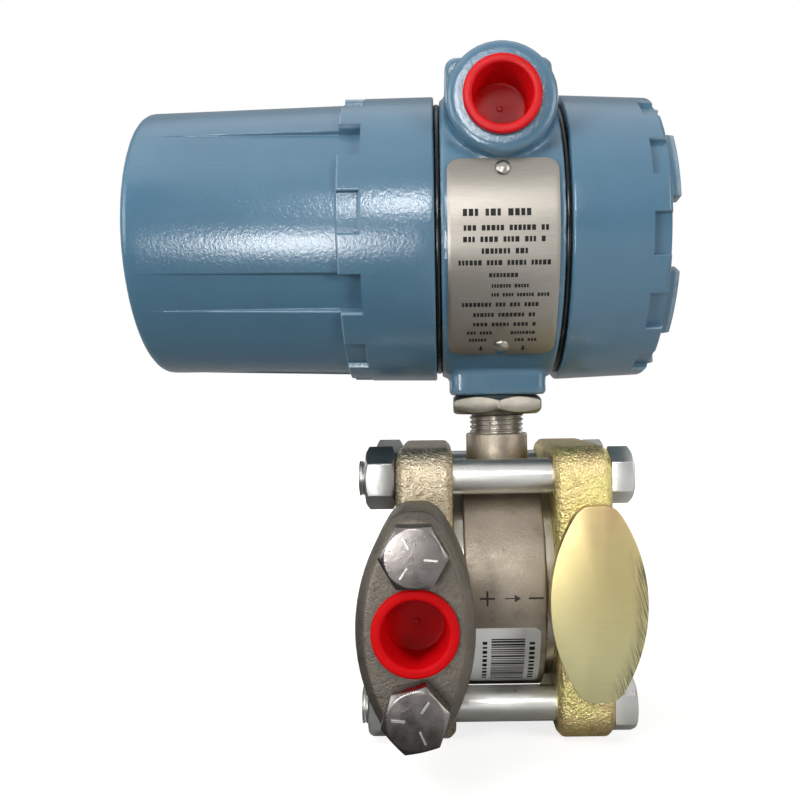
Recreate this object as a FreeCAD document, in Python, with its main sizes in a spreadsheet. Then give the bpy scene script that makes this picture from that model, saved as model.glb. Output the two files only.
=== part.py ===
import FreeCAD, Part
import math
import operator
import os
from types import SimpleNamespace

import Sketcher

# Pressure transmitter with a two-compartment housing on a clamped sensor module.
# Frame: X to the right along the housing axis, Y to the back, Z up, origin on the neck axis
# at the plane that the flanges stand on. Millimetres and degrees.

sizes = {
    # how far cutting solids run past the faces that they cut
    "overshoot": 1.0,
    # sensor module and neck
    "module_height": 46.2,
    "module_radius": 36.0,
    "module_width": 25.4,
    "module_edge": 0.8,
    "shoulder_radius": 33.0,
    "shoulder_length": 3.0,
    "diaphragm_radius": 23.0,
    "diaphragm_recess": 0.8,
    "stub_radius": 10.6,
    "stub_rise": 13.3,
    "stub_edge": 0.8,
    "neck_radius": 9.3,
    "neck_exposed": 6.5,
    "neck_engagement": 10.5,
    "neck_clearance": 0.08,
    # process flanges
    "flange_thickness": 18.0,
    "flange_depth": 68.0,
    "flange_top_reach": 45.8,
    "flange_corner": 9.5,
    "flange_edge": 1.2,
    "port_offset": 26.7,
    "boss_width": 28.8,
    "boss_length": 58.0,
    "boss_tip": 9.7,
    "boss_tip_round": 3.0,
    "boss_rise": 11.4,
    "boss_rim": 4.6,
    "boss_taper": 38.0,
    "rear_boss_rise": 7.0,
    "port_passage_radius": 4.0,
    "seal_radius": 28.5,
    "seal_width": 2.8,
    "seal_depth": 2.0,
    "seal_clearance": 0.1,
    "bracket_hole_radius": 4.95,
    "bracket_hole_depth": 14.0,
    # flange bolts and nuts
    "bolt_radius": 5.55,
    "bolt_spread_depth": 47.0,
    "bolt_spread_height": 72.4,
    "bolt_clearance": 0.4,
    "bolt_head_across": 15.9,
    "bolt_head_height": 7.3,
    "bolt_tail": 2.0,
    "bolt_end_edge": 1.0,
    "thread_clearance": 0.1,
    "nut_across": 17.5,
    "nut_height": 9.5,
    # flange adapter
    "adapter_width": 32.0,
    "adapter_length": 63.0,
    "adapter_tip": 10.0,
    "adapter_tip_round": 3.5,
    "adapter_thickness": 27.6,
    "adapter_bevel": 2.4,
    "adapter_bolt_pitch": 41.3,
    "adapter_bolt_grip": 13.0,
    "adapter_head_spin": 12.0,
    "adapter_seal_radius": 10.5,
    "adapter_seal_width": 2.6,
    "adapter_seal_depth": 1.8,
    "port_depth": 21.0,
    # plastic plugs, the same in the port and in the conduit entry
    "entry_radius": 10.5,
    "plug_rim_radius": 11.65,
    "plug_rim_height": 2.0,
    "plug_length": 14.0,
    "plug_clearance": 0.35,
    "plug_draft": 0.6,
    "plug_mouth_radius": 8.9,
    "plug_floor_radius": 8.2,
    "plug_floor": 1.6,
    "plug_edge": 0.5,
    # vent valve
    "vent_across": 15.9,
    "vent_height": 9.0,
    "vent_thread_radius": 6.6,
    "vent_thread_length": 12.0,
    "vent_stem_radius": 3.6,
    "vent_stem_clearance": 0.1,
    "vent_stem_reach": 7.0,
    "vent_stem_across": 8.0,
    "vent_tip_length": 3.0,
    # lock nut
    "lock_nut_across": 29.6,
    "lock_nut_height": 6.5,
    # electronics housing
    "band_radius": 46.8,
    "band_width": 37.0,
    "band_edge": 0.8,
    "spigot_step": 4.4,
    "spigot_length": 14.8,
    "spigot_edge": 1.0,
    "spigot_wall": 4.9,
    "web_place": 8.0,
    "web_thickness": 4.0,
    "tunnel_width": 33.4,
    "tunnel_depth": 69.0,
    "tunnel_rise": 4.2,
    "tunnel_corner": 3.5,
    "conduit_inset": 17.0,
    "conduit_boss_radius": 16.7,
    "conduit_boss_rise": 1.2,
    "conduit_boss_round": 2.2,
    "conduit_depth": 22.0,
    "conduit_bore_radius": 8.0,
    "neck_block_width": 32.0,
    "neck_block_depth": 29.0,
    "neck_block_rise": 6.2,
    "neck_block_corner": 3.5,
    "wire_passage_radius": 2.5,
    "wire_passage_lean": 45.0,
    # covers
    "cover_gap": 1.8,
    "cover_rise": 0.95,
    "cover_bore_clearance": 0.4,
    "cover_thread_length": 16.0,
    "castellation_count": 12.0,
    "castellation_angle": 15.5,
    "terminal_skirt": 28.8,
    "terminal_skirt_draft": 0.45,
    "terminal_length": 94.0,
    "terminal_step_drop": 2.35,
    "terminal_end_drop": 4.15,
    "terminal_end_round": 3.4,
    "terminal_wall": 3.6,
    "terminal_end_wall": 4.0,
    "terminal_notch_length": 6.6,
    "terminal_notch_drop": 2.0,
    "terminal_groove_drop": 3.75,
    "terminal_notch_phase": 1.0,
    "circuit_length": 29.6,
    "circuit_draft": 1.2,
    "circuit_end_wall": 4.0,
    "circuit_wall": 4.8,
    "circuit_notch_length": 5.5,
    "circuit_notch_depth": 1.9,
    "circuit_notch_phase": 8.0,
    "circuit_rim_edge": 0.9,
    "pad_count": 6.0,
    "pad_angle": 30.0,
    "pad_height": 3.4,
    "pad_inset": 4.75,
    "pad_width": 6.5,
    # cover seals
    "ring_inset": 1.4,
    "ring_clearance": 0.3,
    "ring_round": 0.7,
    # nameplate
    "plate_width": 33.0,
    "plate_thickness": 0.8,
    "plate_gap": 0.05,
    "plate_top_angle": 20.4,
    "plate_span": 78.0,
    "plate_corner": 4.0,
    "plate_screw_top_angle": 16.3,
    "plate_screw_low_angle": -52.2,
    "plate_screw_radius": 1.3,
    "plate_screw_length": 5.0,
    "plate_screw_head_radius": 2.45,
    "plate_screw_head_height": 1.5,
    "plate_hole_clearance": 0.25,
    # zero and span adjusters
    "adjuster_radius": 2.2,
    "adjuster_clearance": 0.08,
    "adjuster_place": 14.3,
    "adjuster_recess": 0.8,
    "adjuster_reach": 3.0,
    "adjuster_slot_width": 0.8,
    "adjuster_slot_depth": 1.0,
    "zero_angle": -6.0,
    "span_angle": -28.0,
    # wiring side
    "post_radius": 4.2,
    "post_hole_radius": 1.75,
    "post_length": 20.0,
    "block_gap": 4.5,
    "block_thickness": 13.0,
    "block_top": 14.0,
    "block_bottom": 20.0,
    "block_screw_inset": 8.0,
    "block_screw_drop": 12.0,
    "terminal_pitch": 13.0,
    "terminal_rise": 4.0,
    "terminal_count": 4.0,
    "barrier_height": 5.0,
    "barrier_width": 2.0,
    "barrier_length": 15.0,
    "screw_radius": 1.7,
    "screw_head_radius": 3.4,
    "screw_head_height": 2.4,
    "screw_grip": 6.0,
    "ground_inset": 9.5,
    "ground_post_length": 16.0,
    # circuit side
    "board_gap": 4.0,
    "board_thickness": 1.6,
    "board_post_radius": 3.0,
    "board_post_length": 7.0,
    "board_spacer_length": 6.0,
    "board_post_inset": 5.5,
    "board_screw_head_height": 2.0,
    "part_height": 3.6,
    "chip_length": 14.0,
    "chip_width": 8.0,
    "can_radius": 5.0,
}

doc = FreeCAD.newDocument("pressure_transmitter")
sheet = doc.addObject("Spreadsheet::Sheet", "Dims")
for row, (alias, number) in enumerate(sizes.items(), start=1):
    sheet.set(f"A{row}", alias)
    sheet.set(f"B{row}", str(number))
    sheet.setAlias(f"B{row}", alias)
doc.recompute()


class Size:
    # A number together with the sheet expression that it comes from
    def __init__(self, value, text):
        self.value = value
        self.text = text

    def joined(self, other, sign, work):
        other = as_size(other)
        return Size(work(self.value, other.value), f"({self.text} {sign} {other.text})")

    def __add__(self, other):
        return self.joined(other, "+", operator.add)

    def __sub__(self, other):
        return self.joined(other, "-", operator.sub)

    def __mul__(self, other):
        return self.joined(other, "*", operator.mul)

    def __truediv__(self, other):
        return self.joined(other, "/", operator.truediv)

    def __radd__(self, other):
        return as_size(other) + self

    def __rsub__(self, other):
        return as_size(other) - self

    def __rmul__(self, other):
        return as_size(other) * self

    def __neg__(self):
        return as_size(0) - self


def as_size(number):
    return number if isinstance(number, Size) else Size(float(number), f"({float(number)})")


dim = SimpleNamespace(**{alias: Size(number, f"Dims.{alias}") for alias, number in sizes.items()})

# Shape ratios: hexagon crowns, the flat and the crown of a pan head, points up a round head
hex_ratio = math.sqrt(3)
hex_crown = 0.97
hex_rise = math.tan(math.radians(30))
pan_side, pan_crown = 0.55, 0.7
dome_points = ((0.4, 0.94), (0.75, 0.7), (1.0, 0.3))
board_post_turns = (60, 180, 300)
overshoot = dim.overshoot

axis_turns = {
    "X": FreeCAD.Rotation(FreeCAD.Vector(0, 1, 0), 90),
    "-X": FreeCAD.Rotation(FreeCAD.Vector(0, 1, 0), -90),
    "Y": FreeCAD.Rotation(FreeCAD.Vector(1, 0, 0), -90),
    "-Y": FreeCAD.Rotation(FreeCAD.Vector(1, 0, 0), 90),
    "Z": FreeCAD.Rotation(),
}


def bind(item, prop, size):
    item.setExpression(prop, as_size(size).text)


def radial(angle):
    # Direction out from the housing axis, angle counted upward from the front
    return FreeCAD.Rotation(FreeCAD.Vector(1, 0, 0), 90 - angle.value)


def cosine(angle):
    return Size(math.cos(math.radians(angle.value)), f"cos({angle.text})")


def sine(angle):
    return Size(math.sin(math.radians(angle.value)), f"sin({angle.text})")


def place(item, at=(0, 0, 0), axis="Z", spin=0):
    turn = axis_turns[axis] if isinstance(axis, str) else axis
    spin_turn = FreeCAD.Rotation(FreeCAD.Vector(0, 0, 1), as_size(spin).value)
    item.Placement = FreeCAD.Placement(FreeCAD.Vector(), turn * spin_turn)
    for name, size in zip("xyz", at):
        bind(item, f"Placement.Base.{name}", size)
    return item


# Solids that the pieces are made from

def cylinder(name, radius, length, at=(0, 0, 0), axis="Z"):
    item = doc.addObject("Part::Cylinder", name)
    bind(item, "Radius", radius)
    bind(item, "Height", length)
    return place(item, at, axis)


def box(name, length, width, height, at=(0, 0, 0), axis="Z"):
    item = doc.addObject("Part::Box", name)
    bind(item, "Length", length)
    bind(item, "Width", width)
    bind(item, "Height", height)
    return place(item, at, axis)


def fuse(name, *items):
    item = doc.addObject("Part::MultiFuse", name)
    item.Shapes = list(items)
    return item


def cut(name, base, *tools):
    item = doc.addObject("Part::Cut", name)
    item.Base = base
    item.Tool = tools[0] if len(tools) == 1 else fuse(f"{name}_tools", *tools)
    return item


def common(name, *items):
    item = doc.addObject("Part::MultiCommon", name)
    item.Shapes = list(items)
    return item


def group(name, items):
    item = doc.addObject("Part::Compound", name)
    item.Links = list(items)
    return item


def origin_plane(body, role):
    return next(item for item in body.Origin.OriginFeatures if item.Role == role)


def new_sketch(body, name, role):
    sketch = body.newObject("Sketcher::SketchObject", name)
    sketch.AttachmentSupport = [(origin_plane(body, role), "")]
    sketch.MapMode = "FlatFace"
    return sketch


def fix_point(sketch, piece, end, point):
    for kind, size in zip(("DistanceX", "DistanceY"), point):
        size = as_size(size)
        made = sketch.addConstraint(Sketcher.Constraint(kind, -1, 1, piece, end, size.value))
        sketch.setExpression(f"Constraints[{made}]", size.text)


def outline_sketch(body, name, role, points):
    # Closed outline of straight runs through the points, each point tied to the sheet
    sketch = new_sketch(body, name, role)
    corners = [FreeCAD.Vector(as_size(x).value, as_size(y).value, 0) for x, y in points]
    count = len(points)
    for index in range(count):
        sketch.addGeometry(Part.LineSegment(corners[index], corners[(index + 1) % count]))
    for index in range(count):
        follower = (index + 1) % count
        sketch.addConstraint(Sketcher.Constraint("Coincident", index, 2, follower, 1))
    for index, point in enumerate(points):
        fix_point(sketch, index, 1, point)
    return sketch


def turn_profile(body, name, profile, kind="Revolution", angle=360):
    # Profile points are (place along the axis, radius)
    points = [(radius, along) for along, radius in profile]
    sketch = outline_sketch(body, f"{name}_outline", "XZ_Plane", points)
    feature = body.newObject(f"PartDesign::{kind}", name)
    feature.Profile = sketch
    feature.ReferenceAxis = (sketch, ["V_Axis"])
    bind(feature, "Angle", angle)
    body.Tip = feature
    return feature


def turned(name, profile, at=(0, 0, 0), axis="Z", spin=0, angle=360):
    body = doc.addObject("PartDesign::Body", name)
    turn_profile(body, f"{name}_turn", profile, angle=angle)
    return place(body, at, axis, spin)


def repeat_round(body, feature, count):
    pattern = body.newObject("PartDesign::PolarPattern", f"{feature.Name}_round")
    pattern.Originals = [feature]
    pattern.Axis = (feature.Profile[0], ["V_Axis"])
    pattern.Angle = 360
    bind(pattern, "Occurrences", count)
    body.Tip = pattern
    return pattern


def soften(body, kind, size, wanted):
    # Fillet or chamfer on the edges of the body so far that are wanted
    doc.recompute()
    base = body.Tip
    edges = [f"Edge{number}" for number, edge in enumerate(base.Shape.Edges, 1) if wanted(edge)]
    feature = body.newObject(f"PartDesign::{kind}", f"{body.Name}_{kind.lower()}")
    feature.Base = (base, edges)
    bind(feature, "Radius" if kind == "Fillet" else "Size", size)
    body.Tip = feature
    return feature


def upright(edge):
    ends = [vertex.Point for vertex in edge.Vertexes]
    return len(ends) == 2 and (ends[1] - ends[0]).cross(FreeCAD.Vector(0, 0, 1)).Length < 1e-6


def leaning(edge):
    # Edge that joins the foot of a tapered pad to its top
    ends = [vertex.Point for vertex in edge.Vertexes]
    return len(ends) == 2 and abs(ends[1].z - ends[0].z) > 1e-6


def level_at(height):
    def wanted(edge):
        box_of_edge = edge.BoundBox
        return max(abs(box_of_edge.ZMin - height.value), abs(box_of_edge.ZMax - height.value)) < 1e-6
    return wanted


def padded(name, points, height, at=(0, 0, 0), axis="Z"):
    body = doc.addObject("PartDesign::Body", name)
    pad = body.newObject("PartDesign::Pad", f"{name}_pad")
    pad.Profile = outline_sketch(body, f"{name}_outline", "XY_Plane", points)
    bind(pad, "Length", height)
    body.Tip = pad
    return place(body, at, axis)


def plate_body(name, points, height, corner, at=(0, 0, 0), axis="Z"):
    # Straight pad of an outline with its upright edges rounded
    body = padded(name, points, height, at, axis)
    soften(body, "Fillet", corner, upright)
    return body


def rectangle(low_x, high_x, low_y, high_y):
    return [(low_x, low_y), (high_x, low_y), (high_x, high_y), (low_x, high_y)]


def lens_body(name, width, length, tip, tip_round, depth, at, axis, taper=None):
    # Oval of two large side arcs cut off flat at both tips, its length along the sketch's Y
    half_width, half_length, half_tip = width / 2, length / 2, tip / 2
    bulge = half_width - half_tip
    arc_radius = (bulge * bulge + half_length * half_length) / (2 * bulge)
    body = doc.addObject("PartDesign::Body", name)
    sketch = new_sketch(body, f"{name}_outline", "XY_Plane")
    for side in (1, -1):
        start = FreeCAD.Vector(side * half_tip.value, -side * half_length.value, 0)
        middle = FreeCAD.Vector(side * half_width.value, 0, 0)
        end = FreeCAD.Vector(side * half_tip.value, side * half_length.value, 0)
        next_start = FreeCAD.Vector(-side * half_tip.value, side * half_length.value, 0)
        sketch.addGeometry(Part.Arc(start, middle, end))
        sketch.addGeometry(Part.LineSegment(end, next_start))
    for piece in range(4):
        sketch.addConstraint(Sketcher.Constraint("Coincident", piece, 2, (piece + 1) % 4, 1))
    for piece, side in ((1, 1), (3, -1)):
        fix_point(sketch, piece, 1, (side * half_tip, side * half_length))
        fix_point(sketch, piece, 2, (-side * half_tip, side * half_length))
    for piece in (0, 2):
        made = sketch.addConstraint(Sketcher.Constraint("Radius", piece, arc_radius.value))
        sketch.setExpression(f"Constraints[{made}]", arc_radius.text)
    pad = body.newObject("PartDesign::Pad", f"{name}_pad")
    pad.Profile = sketch
    bind(pad, "Length", depth)
    if taper is not None:
        bind(pad, "TaperAngle", -taper)
    body.Tip = pad
    soften(body, "Fillet", tip_round, leaning)
    return place(body, at, axis)


def hexagon(name, across, height, at, axis, spin=0, crowns=(True, True)):
    # Hexagon prism with its corners turned off at the crowned ends
    corner = across / hex_ratio
    crown = across * (hex_crown / 2)
    rise = (corner - crown) * hex_rise
    prism = doc.addObject("Part::Prism", f"{name}_prism")
    prism.Polygon = 6
    bind(prism, "Circumradius", corner)
    bind(prism, "Height", height)
    place(prism, at, axis, spin)
    low = [(0, crown), (rise, corner)] if crowns[0] else [(0, corner)]
    high = [(height - rise, corner), (height, crown)] if crowns[1] else [(height, corner)]
    barrel = turned(f"{name}_barrel", [(0, 0)] + low + high + [(height, 0)], at, axis)
    return common(name, prism, barrel)


def rod(name, radius, length, edge, at, axis):
    # Plain shank with its far end chamfered
    profile = [(0, 0), (0, radius), (length - edge, radius), (length, radius - edge), (length, 0)]
    return turned(name, profile, at, axis)


def pan_screw(name, radius, grip, head_radius, head_height, at, axis):
    # Screw whose head stands on the plane at the place given, with the grip behind it
    profile = [
        (-grip, 0), (-grip, radius), (0, radius), (0, head_radius), (head_height * pan_side, head_radius),
        (head_height, head_radius * pan_crown), (head_height, 0),
    ]
    return turned(name, profile, at, axis)


def plug(name, at, axis):
    # Hollow push-in plug, its rim on the plane at the place given and its body behind
    rim = dim.plug_rim_radius
    body_radius = dim.entry_radius - dim.plug_clearance
    end_radius = body_radius - dim.plug_draft
    profile = [
        (-dim.plug_length, 0), (-dim.plug_length, end_radius), (0, body_radius), (0, rim),
        (dim.plug_rim_height - dim.plug_edge, rim), (dim.plug_rim_height, rim - dim.plug_edge),
        (dim.plug_rim_height, dim.plug_mouth_radius),
        (dim.plug_floor - dim.plug_length, dim.plug_floor_radius), (dim.plug_floor - dim.plug_length, 0),
    ]
    return turned(name, profile, at, axis)


nodes = {}


def keep(label, item):
    item.Label = label
    nodes[label] = item


# Places that several pieces share

module_side = dim.module_width / 2
flange_inner = module_side + dim.shoulder_length
flange_outer = flange_inner + dim.flange_thickness
module_z = dim.module_height
flange_top = module_z + dim.flange_top_reach
boss_reach = dim.flange_depth / 2 + dim.boss_rise
rear_boss_reach = dim.flange_depth / 2 + dim.rear_boss_rise
adapter_front = boss_reach + dim.adapter_thickness
bolt_places = [
    (side_y * dim.bolt_spread_depth / 2, module_z + side_z * dim.bolt_spread_height / 2)
    for side_y in (-1, 1) for side_z in (-1, 1)
]
adapter_bolt_heights = [module_z + side * dim.adapter_bolt_pitch / 2 for side in (-1, 1)]
stub_top = module_z + dim.module_radius + dim.stub_rise
lock_nut_bottom = stub_top + dim.neck_exposed
housing_bottom = lock_nut_bottom + dim.lock_nut_height
neck_block_bottom = dim.band_radius + dim.neck_block_rise
housing_z = housing_bottom + neck_block_bottom
neck_top = housing_bottom + dim.neck_engagement
band_side = dim.band_width / 2
spigot_end = band_side + dim.spigot_length
web_right = dim.web_place + dim.web_thickness
cover_start = band_side + dim.cover_gap
spigot_radius = dim.band_radius - dim.spigot_step
compartment_radius = spigot_radius - dim.spigot_wall
cover_radius = dim.band_radius + dim.cover_rise
cover_bore = spigot_radius + dim.cover_bore_clearance
tunnel_top = dim.band_radius + dim.tunnel_rise
conduit_height = tunnel_top - dim.conduit_inset
conduit_boss_reach = dim.band_radius + dim.conduit_boss_rise
conduit_z = housing_z + conduit_height


# Sensor module: drum across the flanges with the neck stub and threaded neck welded on top

def module_half(side):
    return [
        (side * module_side, dim.shoulder_radius),
        (side * flange_inner, dim.shoulder_radius),
        (side * flange_inner, dim.diaphragm_radius),
        (side * (flange_inner - dim.diaphragm_recess), dim.diaphragm_radius - dim.diaphragm_recess),
        (side * (flange_inner - dim.diaphragm_recess), 0),
    ]


drum_edges = [
    (-module_side, dim.module_radius - dim.module_edge),
    (dim.module_edge - module_side, dim.module_radius),
    (module_side - dim.module_edge, dim.module_radius),
    (module_side, dim.module_radius - dim.module_edge),
]
drum = turned("module_drum", module_half(-1)[::-1] + drum_edges + module_half(1), (0, 0, module_z), "X")
neck = turned("module_neck", [
    (module_z, 0), (module_z, dim.stub_radius), (stub_top - dim.stub_edge, dim.stub_radius),
    (stub_top, dim.stub_radius - dim.stub_edge), (stub_top, dim.neck_radius),
    (neck_top - dim.stub_edge, dim.neck_radius), (neck_top, dim.neck_radius - dim.stub_edge), (neck_top, 0),
])
keep("sensor_module", fuse("sensor_module", drum, neck))


# Process flanges: rounded slab with an oval boss in front and a shorter one behind

def flange_slab(name, side):
    slab = plate_body(
        f"{name}_slab",
        rectangle(-flange_top, 0, -dim.flange_depth / 2, dim.flange_depth / 2),
        dim.flange_thickness,
        dim.flange_corner,
        (flange_inner if side > 0 else -flange_outer, 0, 0),
        "X",
    )
    doc.recompute()
    ends = [level_at(as_size(0)), level_at(dim.flange_thickness)]
    soften(slab, "Chamfer", dim.flange_edge, lambda edge: any(end(edge) for end in ends))
    return slab


def oval_boss(name, side, reach, axis):
    sign = -1 if axis == "-Y" else 1
    back = "Y" if axis == "-Y" else "-Y"
    shape = (dim.boss_width, dim.boss_length, dim.boss_tip, dim.boss_tip_round)
    rim_back = reach - dim.boss_rim
    rim_back_at = (side * dim.port_offset, sign * rim_back, module_z)
    rim = lens_body(f"{name}_rim", *shape, dim.boss_rim, rim_back_at, axis)
    neck_length = rim_back - dim.flange_depth / 2 + overshoot
    neck_part = lens_body(f"{name}_neck", *shape, neck_length, rim_back_at, back, dim.boss_taper)
    return [rim, neck_part]


def round_groove(name, radius, width, depth, at, axis):
    outer = radius + width / 2
    inner = radius - width / 2
    profile = [(-overshoot, inner), (-overshoot, outer), (depth, outer), (depth, inner)]
    return turned(name, profile, at, axis)


def flange(name, side):
    inward = (side * flange_inner, 0, module_z)
    outward = "X" if side > 0 else "-X"
    bosses = oval_boss(f"{name}_front", side, boss_reach, "-Y")
    bosses += oval_boss(f"{name}_rear", side, rear_boss_reach, "Y")
    solid = fuse(f"{name}_solid", flange_slab(name, side), *bosses)
    tools = [round_groove(f"{name}_groove", dim.seal_radius, dim.seal_width, dim.seal_depth, inward, outward)]
    low_x = -flange_outer if side < 0 else flange_inner
    bolt_hole = dim.bolt_radius + dim.bolt_clearance
    for index, (y, z) in enumerate(bolt_places):
        start = (low_x - overshoot, y, z)
        length = dim.flange_thickness + 2 * overshoot
        tools.append(cylinder(f"{name}_bolt_hole{index}", bolt_hole, length, start, "X"))
    for index, z in enumerate(adapter_bolt_heights):
        start = (side * dim.port_offset, rear_boss_reach + overshoot, z)
        length = dim.bracket_hole_depth + overshoot
        tools.append(cylinder(f"{name}_bracket_hole{index}", dim.bracket_hole_radius, length, start, "-Y"))
    return solid, tools


high_solid, high_tools = flange("high_flange", -1)
port_x = -dim.port_offset
tapped_radius = dim.bolt_radius + dim.thread_clearance
for index, z in enumerate(adapter_bolt_heights):
    start = (port_x, -boss_reach - overshoot, z)
    tapped_length = dim.adapter_bolt_grip + 2 * overshoot
    high_tools.append(cylinder(f"adapter_tapped_hole{index}", tapped_radius, tapped_length, start, "Y"))
passage_start = (port_x, -boss_reach - overshoot, module_z)
passage_length = boss_reach + rear_boss_reach
high_tools.append(cylinder("port_passage", dim.port_passage_radius, passage_length, passage_start, "Y"))
cross_start = (port_x, 0, module_z)
cross_length = dim.port_offset - flange_inner + overshoot
high_tools.append(cylinder("cross_passage", dim.port_passage_radius, cross_length, cross_start, "X"))
vent_hole_start = (port_x, rear_boss_reach + overshoot, module_z)
vent_hole_radius = dim.vent_thread_radius + dim.thread_clearance
vent_hole_length = dim.vent_thread_length + 2 * overshoot
high_tools.append(cylinder("vent_hole", vent_hole_radius, vent_hole_length, vent_hole_start, "-Y"))
keep("high_side_flange", cut("high_side_flange", high_solid, *high_tools))

low_solid, low_tools = flange("low_flange", 1)
keep("low_side_blank_flange", cut("low_side_blank_flange", low_solid, *low_tools))


# Seals between module and flanges

def flat_ring(name, radius, width, depth, at, axis):
    outer = radius + width / 2 - dim.seal_clearance
    inner = radius - width / 2 + dim.seal_clearance
    return turned(name, [(0, inner), (0, outer), (depth, outer), (depth, inner)], at, axis)


seal_sizes = (dim.seal_radius, dim.seal_width, dim.seal_depth)
keep("high_side_seal", flat_ring("high_side_seal", *seal_sizes, (-flange_inner, 0, module_z), "-X"))
keep("low_side_seal", flat_ring("low_side_seal", *seal_sizes, (flange_inner, 0, module_z), "X"))


# Flange bolts with their heads on the low side and nuts on the high side

bolt_length = 2 * flange_outer + dim.nut_height + dim.bolt_tail
bolts = []
nuts = []
for index, (y, z) in enumerate(bolt_places):
    head_at = (flange_outer, y, z)
    head = hexagon(f"flange_bolt_head{index}", dim.bolt_head_across, dim.bolt_head_height, head_at, "X",
                   crowns=(False, True))
    shank = rod(f"flange_bolt_shank{index}", dim.bolt_radius, bolt_length, dim.bolt_end_edge, head_at, "-X")
    bolts.append(fuse(f"flange_bolt{index}", head, shank))
    nut_at = (-flange_outer, y, z)
    nut_hex = hexagon(f"flange_nut_hex{index}", dim.nut_across, dim.nut_height, nut_at, "-X")
    nut_hole = cylinder(f"flange_nut_hole{index}", tapped_radius, dim.nut_height + 2 * overshoot,
                        (overshoot - flange_outer, y, z), "-X")
    nuts.append(cut(f"flange_nut{index}", nut_hex, nut_hole))
keep("flange_bolts", group("flange_bolts", bolts))
keep("flange_nuts", group("flange_nuts", nuts))


# Flange adapter: oval block with the process port, its seal and its two bolts

adapter_blank = lens_body(
    "adapter_blank", dim.adapter_width, dim.adapter_length, dim.adapter_tip, dim.adapter_tip_round,
    dim.adapter_thickness, (port_x, -boss_reach, module_z), "-Y")
soften(adapter_blank, "Chamfer", dim.adapter_bevel, level_at(dim.adapter_thickness))
adapter_tools = [
    cylinder("adapter_port", dim.entry_radius, dim.port_depth + overshoot,
             (port_x, -adapter_front - overshoot, module_z), "Y"),
    cylinder("adapter_passage", dim.port_passage_radius, dim.adapter_thickness + overshoot,
             (port_x, -adapter_front, module_z), "Y"),
    round_groove("adapter_groove", dim.adapter_seal_radius, dim.adapter_seal_width, dim.adapter_seal_depth,
                 (port_x, -boss_reach, module_z), "-Y"),
]
adapter_bolts = []
adapter_bolt_length = dim.adapter_thickness + dim.adapter_bolt_grip
for index, (z, spin) in enumerate(zip(adapter_bolt_heights, (dim.adapter_head_spin, as_size(0)))):
    adapter_tools.append(cylinder(
        f"adapter_bolt_hole{index}", dim.bolt_radius + dim.bolt_clearance,
        dim.adapter_thickness + 2 * overshoot, (port_x, -adapter_front - overshoot, z), "Y"))
    head_at = (port_x, -adapter_front, z)
    head = hexagon(f"adapter_bolt_head{index}", dim.bolt_head_across, dim.bolt_head_height, head_at, "-Y",
                   spin, crowns=(False, True))
    shank = rod(f"adapter_bolt_shank{index}", dim.bolt_radius, adapter_bolt_length, dim.bolt_end_edge,
                head_at, "Y")
    adapter_bolts.append(fuse(f"adapter_bolt{index}", head, shank))
keep("flange_adapter", cut("flange_adapter", adapter_blank, *adapter_tools))
keep("adapter_bolts", group("adapter_bolts", adapter_bolts))
keep("adapter_seal", flat_ring("adapter_seal", dim.adapter_seal_radius, dim.adapter_seal_width,
                               dim.adapter_seal_depth, (port_x, -boss_reach, module_z), "-Y"))
keep("process_port_plug", plug("process_port_plug", (port_x, -adapter_front, module_z), "-Y"))


# Vent valve behind the high side flange: hexagon seat with a screwed stem

vent_at = (port_x, rear_boss_reach, module_z)
vent_bore = dim.vent_stem_radius + dim.vent_stem_clearance
seat_hex = hexagon("vent_seat_hex", dim.vent_across, dim.vent_height, vent_at, "Y", crowns=(False, True))
seat_thread = turned("vent_seat_thread", [
    (-dim.vent_thread_length, 0), (-dim.vent_thread_length, dim.vent_thread_radius),
    (overshoot, dim.vent_thread_radius), (overshoot, 0),
], vent_at, "Y")
seat_bore = turned("vent_seat_bore", [
    (-dim.vent_thread_length - overshoot, 0), (-dim.vent_thread_length - overshoot, dim.vent_stem_radius / 2),
    (-dim.vent_thread_length + dim.vent_tip_length, dim.vent_stem_radius / 2),
    (-dim.vent_thread_length + dim.vent_tip_length, vent_bore),
    (dim.vent_height + overshoot, vent_bore), (dim.vent_height + overshoot, 0),
], vent_at, "Y")
seat_solid = fuse("vent_seat_solid", seat_hex, seat_thread)
keep("vent_valve_seat", cut("vent_valve_seat", seat_solid, seat_bore))

stem_base = -dim.vent_thread_length + dim.vent_tip_length
stem_shank = turned("vent_stem_shank", [
    (stem_base, 0), (stem_base, dim.vent_stem_radius / 2),
    (stem_base + dim.vent_tip_length, dim.vent_stem_radius),
    (dim.vent_height + overshoot, dim.vent_stem_radius), (dim.vent_height + overshoot, 0),
], vent_at, "Y")
stem_head_at = (port_x, rear_boss_reach + dim.vent_height + overshoot, module_z)
stem_head = hexagon("vent_stem_head", dim.vent_stem_across, dim.vent_stem_reach, stem_head_at, "Y")
keep("vent_valve_stem", fuse("vent_valve_stem", stem_shank, stem_head))


# Lock nut under the housing, corner to the front

lock_hex = hexagon("lock_nut_hex", dim.lock_nut_across, dim.lock_nut_height, (0, 0, lock_nut_bottom), "Z", 30)
lock_hole = cylinder("lock_nut_hole", dim.neck_radius + dim.thread_clearance,
                     dim.lock_nut_height + 2 * overshoot, (0, 0, lock_nut_bottom - overshoot))
keep("neck_lock_nut", cut("neck_lock_nut", lock_hex, lock_hole))


# Electronics housing: turned band with threaded spigots, conduit tunnel on top, neck block below

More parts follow.
